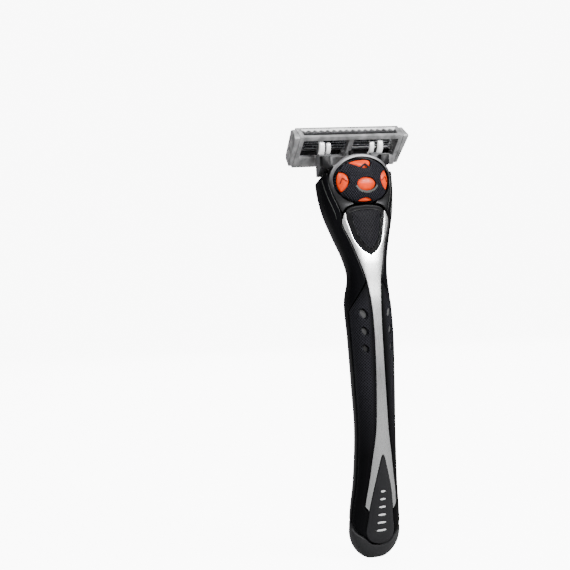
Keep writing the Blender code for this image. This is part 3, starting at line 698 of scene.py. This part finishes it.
MATERIALS = {
    "shell": plastic("shell_gloss_black", (0.0025, 0.0025, 0.003), 0.22, 3.0, 0.0004, 0.04, 0.1,
                     shine=0.05),
    "satin": plastic("satin_black", (0.004, 0.004, 0.0045), 0.42, 5.0, 0.004, 0.06, shine=0.1),
    "rubber": plastic("back_rubber", (0.006, 0.006, 0.0065), 0.6, 7.0, 0.01, 0.08, 0.15,
                      shine=0.12),
    "grip": grip_rubber("grip_rubber", (0.0014, 0.0014, 0.0017), (0.014, 0.014, 0.0175),
                        0.6, 0.75, 0.2, 0.035),
    "pad": plastic("guard_rubber", (0.01, 0.01, 0.011), 0.55, 7.0, 0.006, 0.08, 0.12, shine=0.15),
    "knurl": knurled_rubber("pad_rubber", (0.0012, 0.0012, 0.0018), (0.011, 0.011, 0.0135),
                            0.5, 1.0, 0.15, 0.04),
    "cover": knurled_rubber("ball_black", (0.001, 0.001, 0.0016), (0.018, 0.018, 0.024),
                            0.42, 0.8, 0.15, 0.05),
    # painted shade: the strip is darkened below z 60 to 77, where less light reflects off the lower
    # handle
    "strip": brushed("satin_silver", (0.82, 0.825, 0.83), 0.27, 0.0008, 0.03, (60, 77, 0.38)),
    # painted shade: the bezel is darkened below z 117 to 128, on its feet
    "bezel": brushed("bezel_metal", (0.11, 0.11, 0.114), 0.45, 0.0006, 0.05, (117, 128, 0.22)),
    # also the painted highlight along each flank's corner edge
    "line": brushed("line_grey", (0.11, 0.115, 0.11), 0.4, 0.0006),
    "mark": brushed("mark_silver", (0.8, 0.8, 0.81), 0.3, 0.0),
    "frame": plastic("cartridge_grey", (0.165, 0.165, 0.168), 0.5, 2.6, 0.06, 0.1, 0.45,
                     metallic=0.3),
    # painted highlight: the comb is the frame's grey plastic made far lighter for the light along its
    # scalloped edge
    "comb": plastic("comb_painted_highlight", (0.6, 0.6, 0.605), 0.45, 2.6, 0.03, 0.1, 0.2, metallic=0.3),
    "dark_frame": plastic("connector_dark", (0.055, 0.055, 0.058), 0.5, 4.5, 0.02),
    "arm": plastic("arm_pale", (0.8, 0.8, 0.8), 0.3, 4.0, 0.002, 0.05, 0.05, coat=0.2),
    "orange": plastic("ball_orange", (0.56, 0.035, 0.001), 0.4, 2.0, 0.001, 0.04, 0.14,
                      coat=0.02, shine=0.16),
    "steel": ground_steel("ground_steel", (0.3, 0.305, 0.315), 0.25),
    # darker steel for the springs; on the trimmer's edge it is also painted shade in its slot
    "spring": ground_steel("spring_steel_and_slot_shade", (0.14, 0.14, 0.145), 0.3),
    "blue": plastic("lube_blue", (0.03, 0.09, 0.5), 0.55, 6.0, 0.02, 0.1, 0.2),
    "tail": plastic("tail_satin", (0.0085, 0.0085, 0.0095), 0.5, 5.0, 0.004, 0.06, shine=0.12),
    "cap": plastic("cap_satin", (0.0135, 0.0135, 0.0145), 0.5, 5.0, 0.004, 0.06, shine=0.14),
    # painted highlight and painted shade: the dimple floors are lighter than the grip for the light
    # they catch, and darker on the lower dimples
    "stud": smooth_rubber("dimple_painted_light", (0.05, 0.05, 0.051), 0.45, (66, 80, 0.2)),
    # painted shade: a near-black for the ejector, which shows in the shaded gap between the ball and
    # the button
    "dark": plastic("gap_painted_shade", (0.012, 0.012, 0.012), 0.7, 4.0, 0.004),
}


# ---- handle

DIMPLES = [(79.7, 1.2), (74.2, 1.05), (68.7, 0.95)]
DIMPLE_X = 4.75
# Direction of a dimple's long side: upwards and outwards.
LEAN = (0.85, 0.53)
STUD_DEPTH = 0.85


def front_strip():
    """Bright strip down the front, forked round the button and round the tail inlay."""
    climb, u = np.meshgrid(STRIP_LENGTH * spaced(STRIP_LENGTH, 0.5, 0.4), spaced(5.0, 0.4, 0.35),
                           indexing="ij")
    left = STRIP_LENGTH - climb
    z = (STRIP_LOW + climb + (0.9 + 1.7 * u) * np.clip(1 - climb / 5, 0, 1)
         + (0.7 - 2.3 * u * u) * np.clip(1 - left / 6, 0, 1))
    upper = z > BUTTON_EDGE[0][0] - GAP
    lower = z < INLAY_EDGE[-1][0] + GAP
    opening = np.where(upper, through(BUTTON_EDGE, z) + GAP,
                       np.where(lower, through(INLAY_EDGE, z) + GAP, 0.0))
    end = spine_edge(z)
    layers = []
    for depth in (0.0, through(STRIP_DEPTH, z)):
        start = angle_of(z, opening, np.where(upper, depth, 0.0))
        layers.append(start + (end - start) * u)
    run = run_along(skin(z, layers[0]), 1)
    from_opening = np.where(opening > 0, run, 9.0)
    edge = np.minimum.reduce([from_opening, run[:, -1:] - run, climb, left])
    outer = skin(z, layers[0], rounded(edge, 0.22) + through(STRIP_RECESS, z) - 0.05)
    inner = skin(z, layers[1], through(STRIP_DEPTH, z))
    piece("front_strip", *both_sides(*sheet_mesh(outer, inner)), "handle", "silver",
          "strip", ["front_spine"])


def side_grips():
    """Soft grips with a smooth border, a knurled field and three scooped dimples each."""
    def where(u, v):
        low = end_seam(0.62 + 1.2 * u) + GAP
        z = low + (GRIP_TOP - low) * v
        start = grip_front(z)
        return z, start + np.maximum(grip_back(z) - start, 0.03) * u

    def relief(z, run, edge):
        lift = 0.12 * smooth(edge, 0.6, 1.3)
        for centre, size in DIMPLES:
            start = grip_front(np.full(1, centre))
            at = angle_of(np.full(1, centre), DIMPLE_X)
            path = skin(np.full(24, centre), np.linspace(start[0], at[0], 24))
            across = run - run_along(path)[-1]
            up = z - centre
            a, b = LEAN[0] * up + LEAN[1] * across, LEAN[0] * across - LEAN[1] * up
            reach = np.hypot(a / (1.6 * size), b / (1.15 * size))
            lift = lift - 1.2 * smooth(1 - reach, 0.0, 0.25)
        return lift

    grids = panel(where, 11.0, 77.0, 0.2, 1.8, 0.3, relief)
    right = piece("grip_right", *sheet_mesh(*grids), "handle", "black_rubber", "grip",
                  ["side_grip_right"], 60)
    mirrored("grip_left", right, "side_grip_left")

    def sunk(x, z, d):
        return 0.12 * smooth(d, 0, 0.9) - STUD_DEPTH

    for k, (z, size) in enumerate(DIMPLES):
        middle = (DIMPLE_X + 0.12 * size, z + 0.05 * size)
        oval = [(middle[0] + LEAN[1] * a + LEAN[0] * b, middle[1] + LEAN[0] * a - LEAN[1] * b)
                for a, b in ellipse((1.3 * size, 0.9 * size), 32)]
        stud = piece(f"dimple_right_{k + 1}", *plate(oval, middle, front_y, sunk, 1.2, 0.15),
                     "handle", "black_rubber", "stud")
        mirrored(f"dimple_left_{k + 1}", stud)


def side_shells():
    """Glossy flanks of the head, which run on down the sides behind the grips."""
    def where(u, v):
        low = end_seam(1.83 + 0.75 * u) + GAP
        flank = skin(np.full_like(u, 121.0), 1.0 + 1.4 * u)[..., 1]
        z = low + (SHOULDER_Z - SHOULDER_SLOPE * flank - low) * v
        start = np.where(z < 90, moved(z, grip_back(z), 2 * GAP),
                         spine_edge(z, np.where(z < 110, 1.1, 1.5) * GAP))
        return z, start + (back_edge(z) - start) * u

    grids = panel(where, 14.0, 112.0, 0.55, 1.8, 0.3)
    right = piece("shell_right", *sheet_mesh(*grids), "handle", "black_gloss", "shell",
                  ["side_shell_right"])
    mirrored("shell_left", right, "side_shell_left")


def back_pieces():
    """Ribbed grip down the back and the cover over the back of the head."""
    def grip(u, v):
        start = moved(50.0, back_edge(50.0), GAP)
        angle = start + (math.pi - start) * u
        low = end_seam(angle) + GAP
        z = low + (BACK_SPLIT - GAP / 2 - low) * v
        start = moved(z, back_edge(z), GAP)
        return z, start + (math.pi - start) * u

    def cover(u, v):
        low = BACK_SPLIT + GAP / 2
        top = 119.4 + 5.6 * np.sin(math.pi / 2 * u)
        z = low + (top - low) * v
        start = moved(z, back_edge(z), GAP)
        return z, start + (math.pi - start) * u

    def build(name, where, along, relief, slot, finish, node):
        across = np.concatenate([[0, 0.01, 0.03], 0.06 + 0.94 * np.linspace(0, 1, 26)])
        z, angle = where(*np.meshgrid(across, spaced(along, 0.28)))
        run = run_along(skin(z, angle), 1)
        edge = np.minimum(run, np.minimum(z - z.min(axis=0), z.max(axis=0) - z))
        inset = rounded(edge, 0.3) - relief(z, run[:, -1:] - run, edge)
        outer, inner = skin(z, angle, inset), skin(z, angle, 1.8)
        for grid in (outer, inner):
            grid[:, -1, 0] = 0.0
        piece(name, *both_sides(*sheet_mesh(outer, inner)), "handle", slot, finish, [node], 60)

    def ribs(z, aside, edge):
        field = smooth(edge, 0.7, 1.3) * smooth(z, 24, 30) * (1 - smooth(z, 84, 88))
        return 0.16 * field * (0.5 - 0.5 * np.cos(2 * math.pi * (z + 0.35 * aside) / 1.7))

    def boss(z, aside, edge):
        reach = np.hypot(aside, z - BALL_Z + 4.5)
        ring = smooth(reach, 2.2, 2.5) * (1 - smooth(reach, 2.9, 3.2))
        groove = smooth(z, 100.2, 100.5) * (1 - smooth(z, 101.0, 101.3)) * smooth(edge, 1.2, 1.8)
        return -0.35 * ring - 0.3 * groove

    build("back_pad", grip, 78.0, ribs, "black_rubber", "rubber", "back_grip")
    build("back_cover", cover, 30.0, boss, "black_satin", "satin", "head_back_cover")


def end_cap():
    """Rounded tail that closes the handle."""
    spokes, rows = 144, 40
    angle = np.linspace(0, 2 * math.pi, spokes, endpoint=False)
    top = end_seam(np.minimum(angle, 2 * math.pi - angle))
    share = np.linspace(0, 1, rows) ** 1.5
    z = top * share[:, None]
    edge = top - z
    outer = skin(z, np.broadcast_to(angle, z.shape), rounded(edge, 0.3))
    rim = skin(top, angle, 2.4)
    points = np.concatenate([outer.reshape(-1, 3), rim, [[0, 0, 8.6]]])
    last = rows * spokes
    faces = ring_faces(spokes, rows) + [tuple(range(spokes))]
    faces += fan_faces(spokes, last, last + spokes)
    piece("tail_cap", points, faces, "handle", "black_satin", "cap", ["end_cap"])


def tail_inlay():
    """Pad let into the tail, with a plain row of bars where a maker would put a name."""
    def crown(x, z, d):
        return -rounded(d, 0.25) + 0.1 * smooth(d, 0.2, 1.6)

    def raised(x, z, d):
        return 0.13 + 0.04 * smooth(d, 0, 0.2)

    piece("tail_pad", *plate(closed_edges(INLAY_EDGE), (0, 12.5), front_y, crown, 1.4), "handle",
          "black_satin", "tail", ["tail_inlay"])
    for k in range(6):
        z = 9.4 + 2.6 * k
        half = 1.75 - 0.19 * k
        bar = eased(rectangle((-half, z - 0.32), (half, z + 0.32)))
        piece(f"tail_mark_{k + 1}", *plate(bar, (0, z), front_y, raised, 0.1, 0.12), "handle",
              "silver", "mark")


def flank_highlights():
    """A thin pale strip on each flank of the head, a painted highlight where light catches the rounded
    corner edge.
    """
    def where(u, v):
        z = 110.0 + 12.6 * v
        return z, spine_edge(z) + 0.29 + 0.12 * v + (0.015 + 0.065 * v) * (u - 0.5)

    z, angle = where(*np.meshgrid(np.linspace(0, 1, 5), np.linspace(0, 1, 60)))
    grids = [skin(z, angle, inset) for inset in (-0.06, 0.1)]
    right = piece("flank_highlight_right", *sheet_mesh(*grids), "handle", "bezel_grey", "line")
    mirrored("flank_highlight_left", right)


# ---- head

def bezel_ring():
    """Arch round the ball, with two feet that reach down beside the button."""
    def around(size, degrees):
        a = np.radians(degrees)
        return np.stack([size[0] * np.cos(a), BALL_Z + size[1] * np.sin(a)], axis=-1)

    def stretched(line):
        line = np.array(line, float)
        run = run_along(line)
        return placed(line, run, np.linspace(0, run[-1], steps))

    steps = 55
    heights = np.linspace(112.6, 121.2, 24)
    side = np.stack([through(SPINE_EDGE, heights), heights], axis=1)
    low_outer = stretched([KEYSTONE[0], *side])
    low_inner = stretched([*KEYSTONE, *around(OPENING, np.linspace(-66, -10, 20))])
    arch = np.linspace(0, 90, steps)
    inner = np.concatenate([low_inner, around(OPENING, arch)[1:]])
    outer = np.concatenate([low_outer, around(BEZEL_OUTER, arch)[1:]])
    share = spaced(3.0, 0.25, 0.35)
    flat = inner[:, None] + (outer - inner)[:, None] * share[:, None]
    x, z = flat[..., 0], flat[..., 1]
    width = np.linalg.norm(outer - inner, axis=1)[:, None]
    edge = np.minimum(share * width, (1 - share) * width)
    y = front_y(x, z)
    depth = 1.45 - 1.2 * share ** 1.5
    top = np.stack([x, y + rounded(edge, 0.3) - 0.25 * (1 - share), z], axis=-1)
    below = np.stack([x, y + np.maximum(depth, 0.32), z], axis=-1)
    for grid in (top, below):
        grid[-1, :, 0] = 0.0
    piece("bezel_ring", *both_sides(*sheet_mesh(top, below)), "handle", "bezel_grey",
          "bezel", ["bezel"])


def release_button():
    """Thumb button: a smooth carrier with a bevelled border, and a knurled pad."""
    outline = closed_edges(BUTTON_EDGE)

    def carrier(x, z, d):
        return -rounded(d, 0.25) + 0.5 * smooth(d, 0.2, 1.45) - 0.9 * smooth(d, 1.5, 1.65)

    def crown(x, z, d):
        return 0.42 - rounded(d, 0.15) + 0.15 * smooth(d, 0.2, 3.0)

    middle = (0, 108.0)
    piece("button_carrier", *plate(outline, middle, front_y, carrier, 1.5, 0.25), "button",
          "black_satin", "satin", ["release_button"])
    piece("button_knurl", *plate(shrunk(outline, 1.55), middle, front_y, crown, 0.4, 0.2), "button",
          "black_rubber", "knurl", ["button_pad"], 80)


def dome_y(x, z, lower=0.0):
    """Depth of the ball's dome at a place, or of one that lies lower."""
    reach = np.clip(np.hypot(x / DOME[0], (z - BALL_Z) / DOME[1]), 0, 1)
    return front_y(x, z) - DOME_RISE * (1 - reach * reach) ** 0.55 + lower


def windows():
    """Outlines of the openings in the ball's cover."""
    def up(points):
        return [(x, BALL_Z + z) for x, z in points]

    spot = ellipse((3.45, 2.2), 48, SPOT)
    side = eased([(5.5, 0.0), (5.9, 1.8), (7.2, 3.0), (8.6, 3.2), (9.2, 2.2), (9.65, 0.2),
                  (9.35, -1.8), (8.3, -3.9), (7.4, -3.0), (6.2, -1.7)])
    top = [(-5.4, 5.9), (-1.7, 4.5), (-0.5, 4.0), (1.3, 4.0), (2.4, 4.7), (3.0, 5.8), (2.7, 6.65),
           (1.4, 6.95), (0.0, 7.0), (-2.4, 6.8), (-4.2, 6.35)]
    bottom = eased([(-3.2, -6.65), (-1.7, -5.6), (0.0, -5.2), (1.7, -5.6), (3.2, -6.65),
                    (0.0, -7.05)])
    return {"spot": up(spot), "right": up(side), "left": up([(-x, z) for x, z in reversed(side)]),
            "top": up(eased(top, 1)), "bottom": up(bottom)}


def ball():
    """Dotted black cover with five windows over a glossy core."""
    middle = (0, BALL_Z)
    rim = ellipse(DOME, 96, middle)
    holes = {name: np.array(line) for name, line in windows().items()}

    def near(x, z):
        flat = np.stack([x, z], axis=1)
        return np.minimum.reduce([distance_to(flat, line) for line in holes.values()])

    def dotted(x, z, d):
        away = np.minimum(near(x, z), d)
        dots = np.cos(2 * math.pi * x / 0.8) * np.cos(2 * math.pi * (z - BALL_Z) / 0.8)
        return (-rounded(d, 0.25) - rounded(near(x, z), 0.25)
                + 0.16 * smooth(away, 0.35, 0.6) * smooth(dots, 0.0, 0.8))

    def pillow(x, z, d):
        flat = np.stack([x, z], axis=1)
        height = np.zeros(len(flat))
        for line in holes.values():
            within = inside(flat, line)
            height = np.where(within, 0.62 * (1 - np.exp(-distance_to(flat, line) / 0.9)), height)
        return height

    cover = piece("ball_cover", *plate(rim, middle, dome_y, dotted, 0.5, 0.15), "ball_pod",
                  "black_satin", "cover", ["ball_skin"], 60)
    cutters = [extruded("hole_" + name, line, "XZ", -9.0, 4.0)
               for name, line in holes.items()]
    combine(cover, cutters)
    small = [(x * 0.93, BALL_Z + (z - BALL_Z) * 0.92) for x, z in rim]
    lens = plate(small, middle, lambda x, z: dome_y(x, z, 0.85), pillow, 0.6, 0.2)
    piece("ball_lens", *lens, "ball_pod", "orange", "orange", ["ball_core"], 80)
    for name, reach, low, high in (("ball_body", (9.2, 6.6), -1.7, 0.4),
                                   ("ball_flange", (10.6, 7.9), 0.2, 0.8)):
        disc = extruded(name, ellipse(reach, 96, middle), "XZ", low, high, 0.12)
        dress(disc, "ball_pod", "black_satin", "satin")
    arc = []
    for reach, turns in (((4.1, 2.95), (-2.95, -0.2)), ((3.5, 2.25), (-0.2, -2.95))):
        arc += [(SPOT[0] + reach[0] * math.cos(a), BALL_Z + SPOT[1] + reach[1] * math.sin(a))
                for a in np.linspace(*turns, 36)]
    ribbon("spot_arc", arc, "ball_pod", "bezel_grey", "line", 0.06)
    ribbon("arrow_top", chevron((0.5, BALL_Z + 5.0), 1.75, 1.3, 0.5, -0.12), "ball_pod", "black_satin",
           "cover", 0.02)
    for word, side in SIDES:
        arrow = chevron((side * 7.6, BALL_Z + 0.5), 1.15, 1.5, 0.14, side * -0.3)
        ribbon("arrow_" + word, arrow, "ball_pod", "black_satin", "cover", -0.1)


def chevron(at, half, rise, thick, lean):
    """Outline of an upward arrow mark."""
    upper = [(-half, -rise / 2), (0, rise / 2), (half, -rise / 2)]
    shape = upper + [(x, z - thick * 1.3) for x, z in reversed(upper)]
    c, s = math.cos(lean), math.sin(lean)
    return [(at[0] + c * x - s * z, at[1] + s * x + c * z) for x, z in shape]


def ribbon(name, outline, body, slot, finish, lift):
    """A thin flat mark that follows the dome."""
    mark = extruded(name, resampled(outline, 0.12), "XZ", 0.0, 0.3)
    work = bmesh.new()
    work.from_mesh(mark.data)
    bmesh.ops.triangulate(work, faces=work.faces)
    work.to_mesh(mark.data)
    work.free()
    for vert in mark.data.vertices:
        x, z = vert.co.x / MM, vert.co.z / MM
        base = float(dome_y(np.array([x]), np.array([z]))[0])
        vert.co.y = MM * (base - lift + vert.co.y / MM)
    return dress(mark, body, slot, finish)


def pod():
    """Fork behind the ball, with a prong on each side that carries the cartridge clip."""
    half = [(0.0, 116.2), (5.6, 116.2), (8.4, 118.4), (9.3, 121.0), (9.3, 125.7), (12.2, 126.9),
            (12.2, 130.2), (9.2, 130.2), (9.2, 127.6), (7.2, 125.6), (5.2, 124.1), (0.0, 124.1)]
    outline = half + [(-x, z) for x, z in reversed(half[1:-1])]
    fork = extruded("fork", outline, "XZ", 0.9, 2.9, 0.15)
    combine(fork, [block("guide", (-1.9, 2.6, 123.2), (1.9, 5.7, 129.2), 0.2)], "UNION")
    dress(fork, "ball_pod", "black_satin", "satin", ["pod_fork"])


# ---- cartridge

def to_head(obj):
    """Moves a piece from the cartridge's own upright frame to its tilted place."""
    obj.data.transform(Matrix.Translation(MM * PIVOT) @ Matrix.Rotation(TILT, 4, "X")
                       @ Matrix.Translation(-MM * Vector((0.0, PIVOT_DEPTH, PIVOT_RISE))))
    return obj


def span(side, near, far):
    """The lowest and highest X of what lies between two distances from the middle."""
    return sorted((side * near, side * far))


def on_cartridge(obj, slot, finish, hides=(), crease=30):
    return dress(to_head(obj), "cartridge", slot, finish, hides, crease)


def housing():
    """Grey tray: a back plate with two bevelled windows, end walls and the trimmer's slot."""
    wide = CAP_START - 0.15
    body = extruded("housing", rectangle((0.0, FOOT), (5.2, HEIGHT)), "YZ", -wide, wide)
    cuts = [block("tray", (-wide + 1.0, 1.3, 3.1), (wide - 1.0, 6.0, 9.3)),
            block("strip_seat", (-wide + 1.05, 3.9, 8.9), (wide - 1.05, 6.1, 10.4))]
    for _, side in SIDES:
        low, high = span(side, 0.9, 17.3)
        cuts.append(extruded("window", rectangle((low, 2.8), (high, 9.5)), "XZ", -1.0, 2.1))
        cuts.append(block("rinse_slot", (low, 1.4, FOOT - 1), (high, 3.6, 4.1)))
    cuts.append(block("guard_seat", (-wide - 1, 3.25, FOOT - 1.2), (wide + 1, 6.2, 2.95)))
    waves, steps = 15, 8
    wave = [(17.2 - 34.4 * k / steps / waves, 3.1 + 0.35 * math.cos(2 * math.pi * k / steps))
            for k in range(waves * steps + 1)]
    cuts.append(extruded("slot", [(-17.2, 1.15), (17.2, 1.15), *wave], "XY", 9.8, HEIGHT + 1))
    softened(combine(body, cuts), 0.1)
    on_cartridge(body, "frame_grey", "frame", ["cartridge_frame"])
    # The comb's lighter finish is a painted highlight along its scallops.
    comb = [(x, y + 0.12) for x, y in wave] + [(-17.2, 4.1), (17.2, 4.1)]
    ridge = extruded("trim_comb", comb, "XY", HEIGHT - 0.25, HEIGHT + 0.22)
    on_cartridge(ridge, "frame_grey", "comb")
    rod = extruded("rinse_bar", rectangle((2.35, 4.35), (2.75, 4.8)), "YZ", 1.1, 17.0, 0.1)
    on_cartridge(rod, "steel", "mark")


def end_caps():
    """Bevelled end caps with a seam against the tray."""
    profile = [(0.0, FOOT + 0.9), (0.9, FOOT), (DEPTH - 0.9, FOOT), (DEPTH, FOOT + 0.9),
               (DEPTH, HEIGHT - 1.3), (DEPTH - 1.3, HEIGHT), (0.4, HEIGHT), (0.0, HEIGHT - 0.4)]
    cap = extruded("cap_right", profile, "YZ", CAP_START, HALF_LENGTH)
    for vert in cap.data.vertices:
        if vert.co.x > MM * (HALF_LENGTH - 0.01):
            y, z = vert.co.y / MM, vert.co.z / MM
            vert.co.x -= MM * (0.9 * (1 - z / HEIGHT) + 0.9 * y / DEPTH)
    work = bmesh.new()
    work.from_mesh(cap.data)
    bevel(work, work.edges[:], 0.22, 3)
    work.to_mesh(cap.data)
    work.free()
    right = on_cartridge(cap, "frame_grey", "frame", ["cartridge_end_cap_right"])
    mirrored("cap_left", right, "cartridge_end_cap_left")


def blades():
    """Five bent blades."""
    for k in range(5):
        z = BLADE_LOW + BLADE_PITCH * k
        profile = [(3.0, z + 0.37), (4.35, z + 0.37), (5.0, z - 0.3), (5.38, z - 0.36),
                   (5.05, z - 0.18), (4.45, z + 0.52), (3.0, z + 0.52)]
        blade = extruded(f"razor_blade_{k + 1}", profile, "YZ", -17.2, 17.2)
        on_cartridge(blade, "steel", "steel", [f"blade_{k + 1}"])


def cartridge_trim():
    """Finned guard below the blades, lubricating bar above them, and the trimmer's edge."""
    guard = block("guard", (-18.4, 3.5, FOOT + 0.3), (18.4, DEPTH - 0.45, 2.6), 0.15)
    fins = []
    for k in range(29):
        x = -17.5 + 1.25 * k
        fins.append(block("fin", (x - 0.32, 4.6, FOOT + 0.45), (x + 0.32, DEPTH, 2.45), 0.1))
    combine(guard, fins, "UNION")
    on_cartridge(guard, "black_rubber", "pad", ["guard_strip"])
    oval = eased(rectangle((4.2, 9.1), (DEPTH, 10.15)))
    strip = extruded("lubrication_bar", oval, "YZ", -17.3, 17.3, 0.05)
    on_cartridge(strip, "lube_blue", "blue", ["lubrication_strip"])
    # The trimmer's edge takes the darker spring steel, which also paints the shade in its slot.
    trimmer = [(2.15, 10.1), (2.75, 10.1), (2.75, 10.85), (2.4, 10.85)]
    blade = extruded("trimmer_edge", trimmer, "YZ", -16.9, 16.9)
    on_cartridge(blade, "steel", "spring", ["trimmer_blade"])


def sector(inner, outer, start, stop, steps=28):
    """Ring sector round the pivot in Y and Z; degrees from straight back, towards the ridge."""
    def at(radius, degrees):
        a = math.radians(degrees)
        y = PIVOT.y - radius * (math.cos(a) * math.cos(TILT) + math.sin(a) * math.sin(TILT))
        z = PIVOT.z - radius * (math.cos(a) * math.sin(TILT) - math.sin(a) * math.cos(TILT))
        return (y, z)
    turns = [start + (stop - start) * k / steps for k in range(steps + 1)]
    return [at(outer, d) for d in turns] + [at(inner, d) for d in reversed(turns)]


def crescent(inner, outer):
    """A bearing's outline, whose upper end thins out towards the ridge."""
    line = sector(inner, outer, -33, 60)
    half = len(line) // 2
    tip = sector(inner - 0.25, outer - 0.75, 78, 78, 1)
    return line[:half] + tip[:1] + tip[-1:] + line[half:]


def connector():
    """Clip that holds the cartridge by four curved bearings and stands on the fork's prongs."""
    foot = [(3.3, 126.6), (6.2, 123.6), (6.9, 123.6), (6.9, 129.3), (6.5, 130.55), (4.4, 131.0),
            (3.3, 129.9)]
    bridge = block("clip_bridge", (-7.6, 6.05, 125.2), (7.6, 6.85, 127.4), 0.15)
    feet = []
    for _, side in SIDES:
        feet.append(extruded("foot", foot, "YZ", *span(side, 7.2, 11.7), 0.12))
    combine(bridge, feet, "UNION")
    dress(bridge, "connector", "arm_grey", "dark_frame", ["cartridge_connector"])
    for word, side in SIDES:
        for name, radii, *reach in (("outer", (2.9, 3.9), 9.8, 11.5), ("inner", (2.3, 3.1), 7.2, 8.7)):
            arm = extruded(f"bearing_{name}_{word}", crescent(*radii), "YZ", *span(side, *reach),
                           0.15, 3)
            dress(arm, "connector", "arm_grey", "arm")
        cheek = extruded("bearing_cheek_" + word, sector(1.2, 3.1, -20, 50), "YZ",
                         *span(side, 10.3, 11.45), 0.1)
        dress(cheek, "connector", "arm_grey", "dark_frame")


def inner_parts():
    """Better materials for the small inner pieces, which keep their CAD shape."""
    # The ejector's dark finish is painted shade in the gap between the ball and the button.
    finishes = {"handle_core": "satin", "centering_spring": "satin", "swivel_screw": "steel",
                "plunger": "satin", "plunger_spring": "spring", "ejector": "dark",
                "ejector_spring": "spring"}
    for node, key in finishes.items():
        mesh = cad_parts[node].data
        mesh.materials.clear()
        mesh.materials.append(MATERIALS[key])


# ---- stage, lights and camera

CAMERA_AT = (-227.8, -415.0, 115.2)
CAMERA_RIGHT = (0.8988, -0.4358, -0.0475)
CAMERA_UP = (0.0663, 0.0281, 0.9974)
LENS = 92.9
# Strength that makes the floor white to the camera and leaves its light on the object as it is.
FLOOR_GLOW = 9.0
SKY = 0.22
# Name, place and size in metres, and watts.
LIGHTS = (("key", (0.27, -0.48, 0.37), (0.3, 0.14), 10.0),
          ("left", (-0.35, -0.3, 0.5), (0.25, 0.25), 5.0),
          ("top", (0.0, 0.25, 0.7), (0.5, 0.3), 6.0),
          ("back", (0.3, 0.6, 0.25), (0.5, 0.3), 4.0))
LIT = Vector((0.0, 0.0, 0.1))


def stage():
    """Pale floor that sweeps up behind the object."""
    size, back, rise, bend = 3.0, 0.9, 2.0, 0.5
    turn = [i * math.pi / 24 for i in range(13)]
    profile = ([(-size, 0.0), (back, 0.0)]
               + [(back + bend * math.sin(a), bend - bend * math.cos(a)) for a in turn]
               + [(back + bend, rise)])
    mesh = bpy.data.meshes.new("floor")
    points = [(x, y, z) for y, z in profile for x in (-size, size)]
    faces = [(2 * k, 2 * k + 1, 2 * k + 3, 2 * k + 2) for k in range(len(profile) - 1)]
    mesh.from_pydata(points, [], faces)
    floor = bpy.data.objects.new("floor", mesh)
    bpy.context.scene.collection.objects.link(floor)
    white = Finish("floor_white", (0.4, 0.4, 0.4), 0.6, shine=0.1)
    white.tinted(white.ranged(white.noise(0.05), 0.0, 1.0), 0.01)
    seen = white.node("ShaderNodeLightPath").outputs["Is Camera Ray"]
    white.shader.inputs["Emission Color"].default_value = (1, 1, 1, 1)
    white.link(white.ranged(seen, 0.0, FLOOR_GLOW, 0.0, 1.0), white.shader.inputs["Emission Strength"])
    floor.data.materials.append(white.made)
    mesh.shade_smooth()


def lights():
    """Soft rectangular lights aimed at the object, and a dim even sky."""
    world = bpy.data.worlds.new("studio")
    bpy.context.scene.world = world
    world.use_nodes = True
    sky = world.node_tree.nodes["Background"].inputs
    sky["Color"].default_value = (1, 1, 1, 1)
    sky["Strength"].default_value = SKY
    for name, at, size, watts in LIGHTS:
        light = bpy.data.lights.new(name, "AREA")
        light.shape = "RECTANGLE"
        light.size, light.size_y = size
        light.energy = watts
        obj = bpy.data.objects.new(name, light)
        bpy.context.scene.collection.objects.link(obj)
        obj.location = at
        obj.rotation_euler = (LIT - Vector(at)).to_track_quat("-Z", "Y").to_euler()


def camera():
    """The camera at the photograph's viewing angle."""
    lens = bpy.data.cameras.new("camera")
    lens.lens, lens.sensor_width = LENS, 36.0
    lens.clip_start, lens.clip_end = 0.01, 20.0
    obj = bpy.data.objects.new("camera", lens)
    bpy.context.scene.collection.objects.link(obj)
    right = Vector(CAMERA_RIGHT).normalized()
    up = Vector(CAMERA_UP)
    up = (up - right * up.dot(right)).normalized()
    back = right.cross(up)
    turn = Matrix((right, up, back)).transposed().to_4x4()
    obj.matrix_world = Matrix.Translation(MM * Vector(CAMERA_AT)) @ turn
    bpy.context.scene.camera = obj


# ---- build

front_strip()
side_grips()
side_shells()
back_pieces()
end_cap()
tail_inlay()
flank_highlights()
bezel_ring()
release_button()
ball()
pod()
housing()
end_caps()
blades()
cartridge_trim()
connector()
inner_parts()
stage()
lights()
camera()
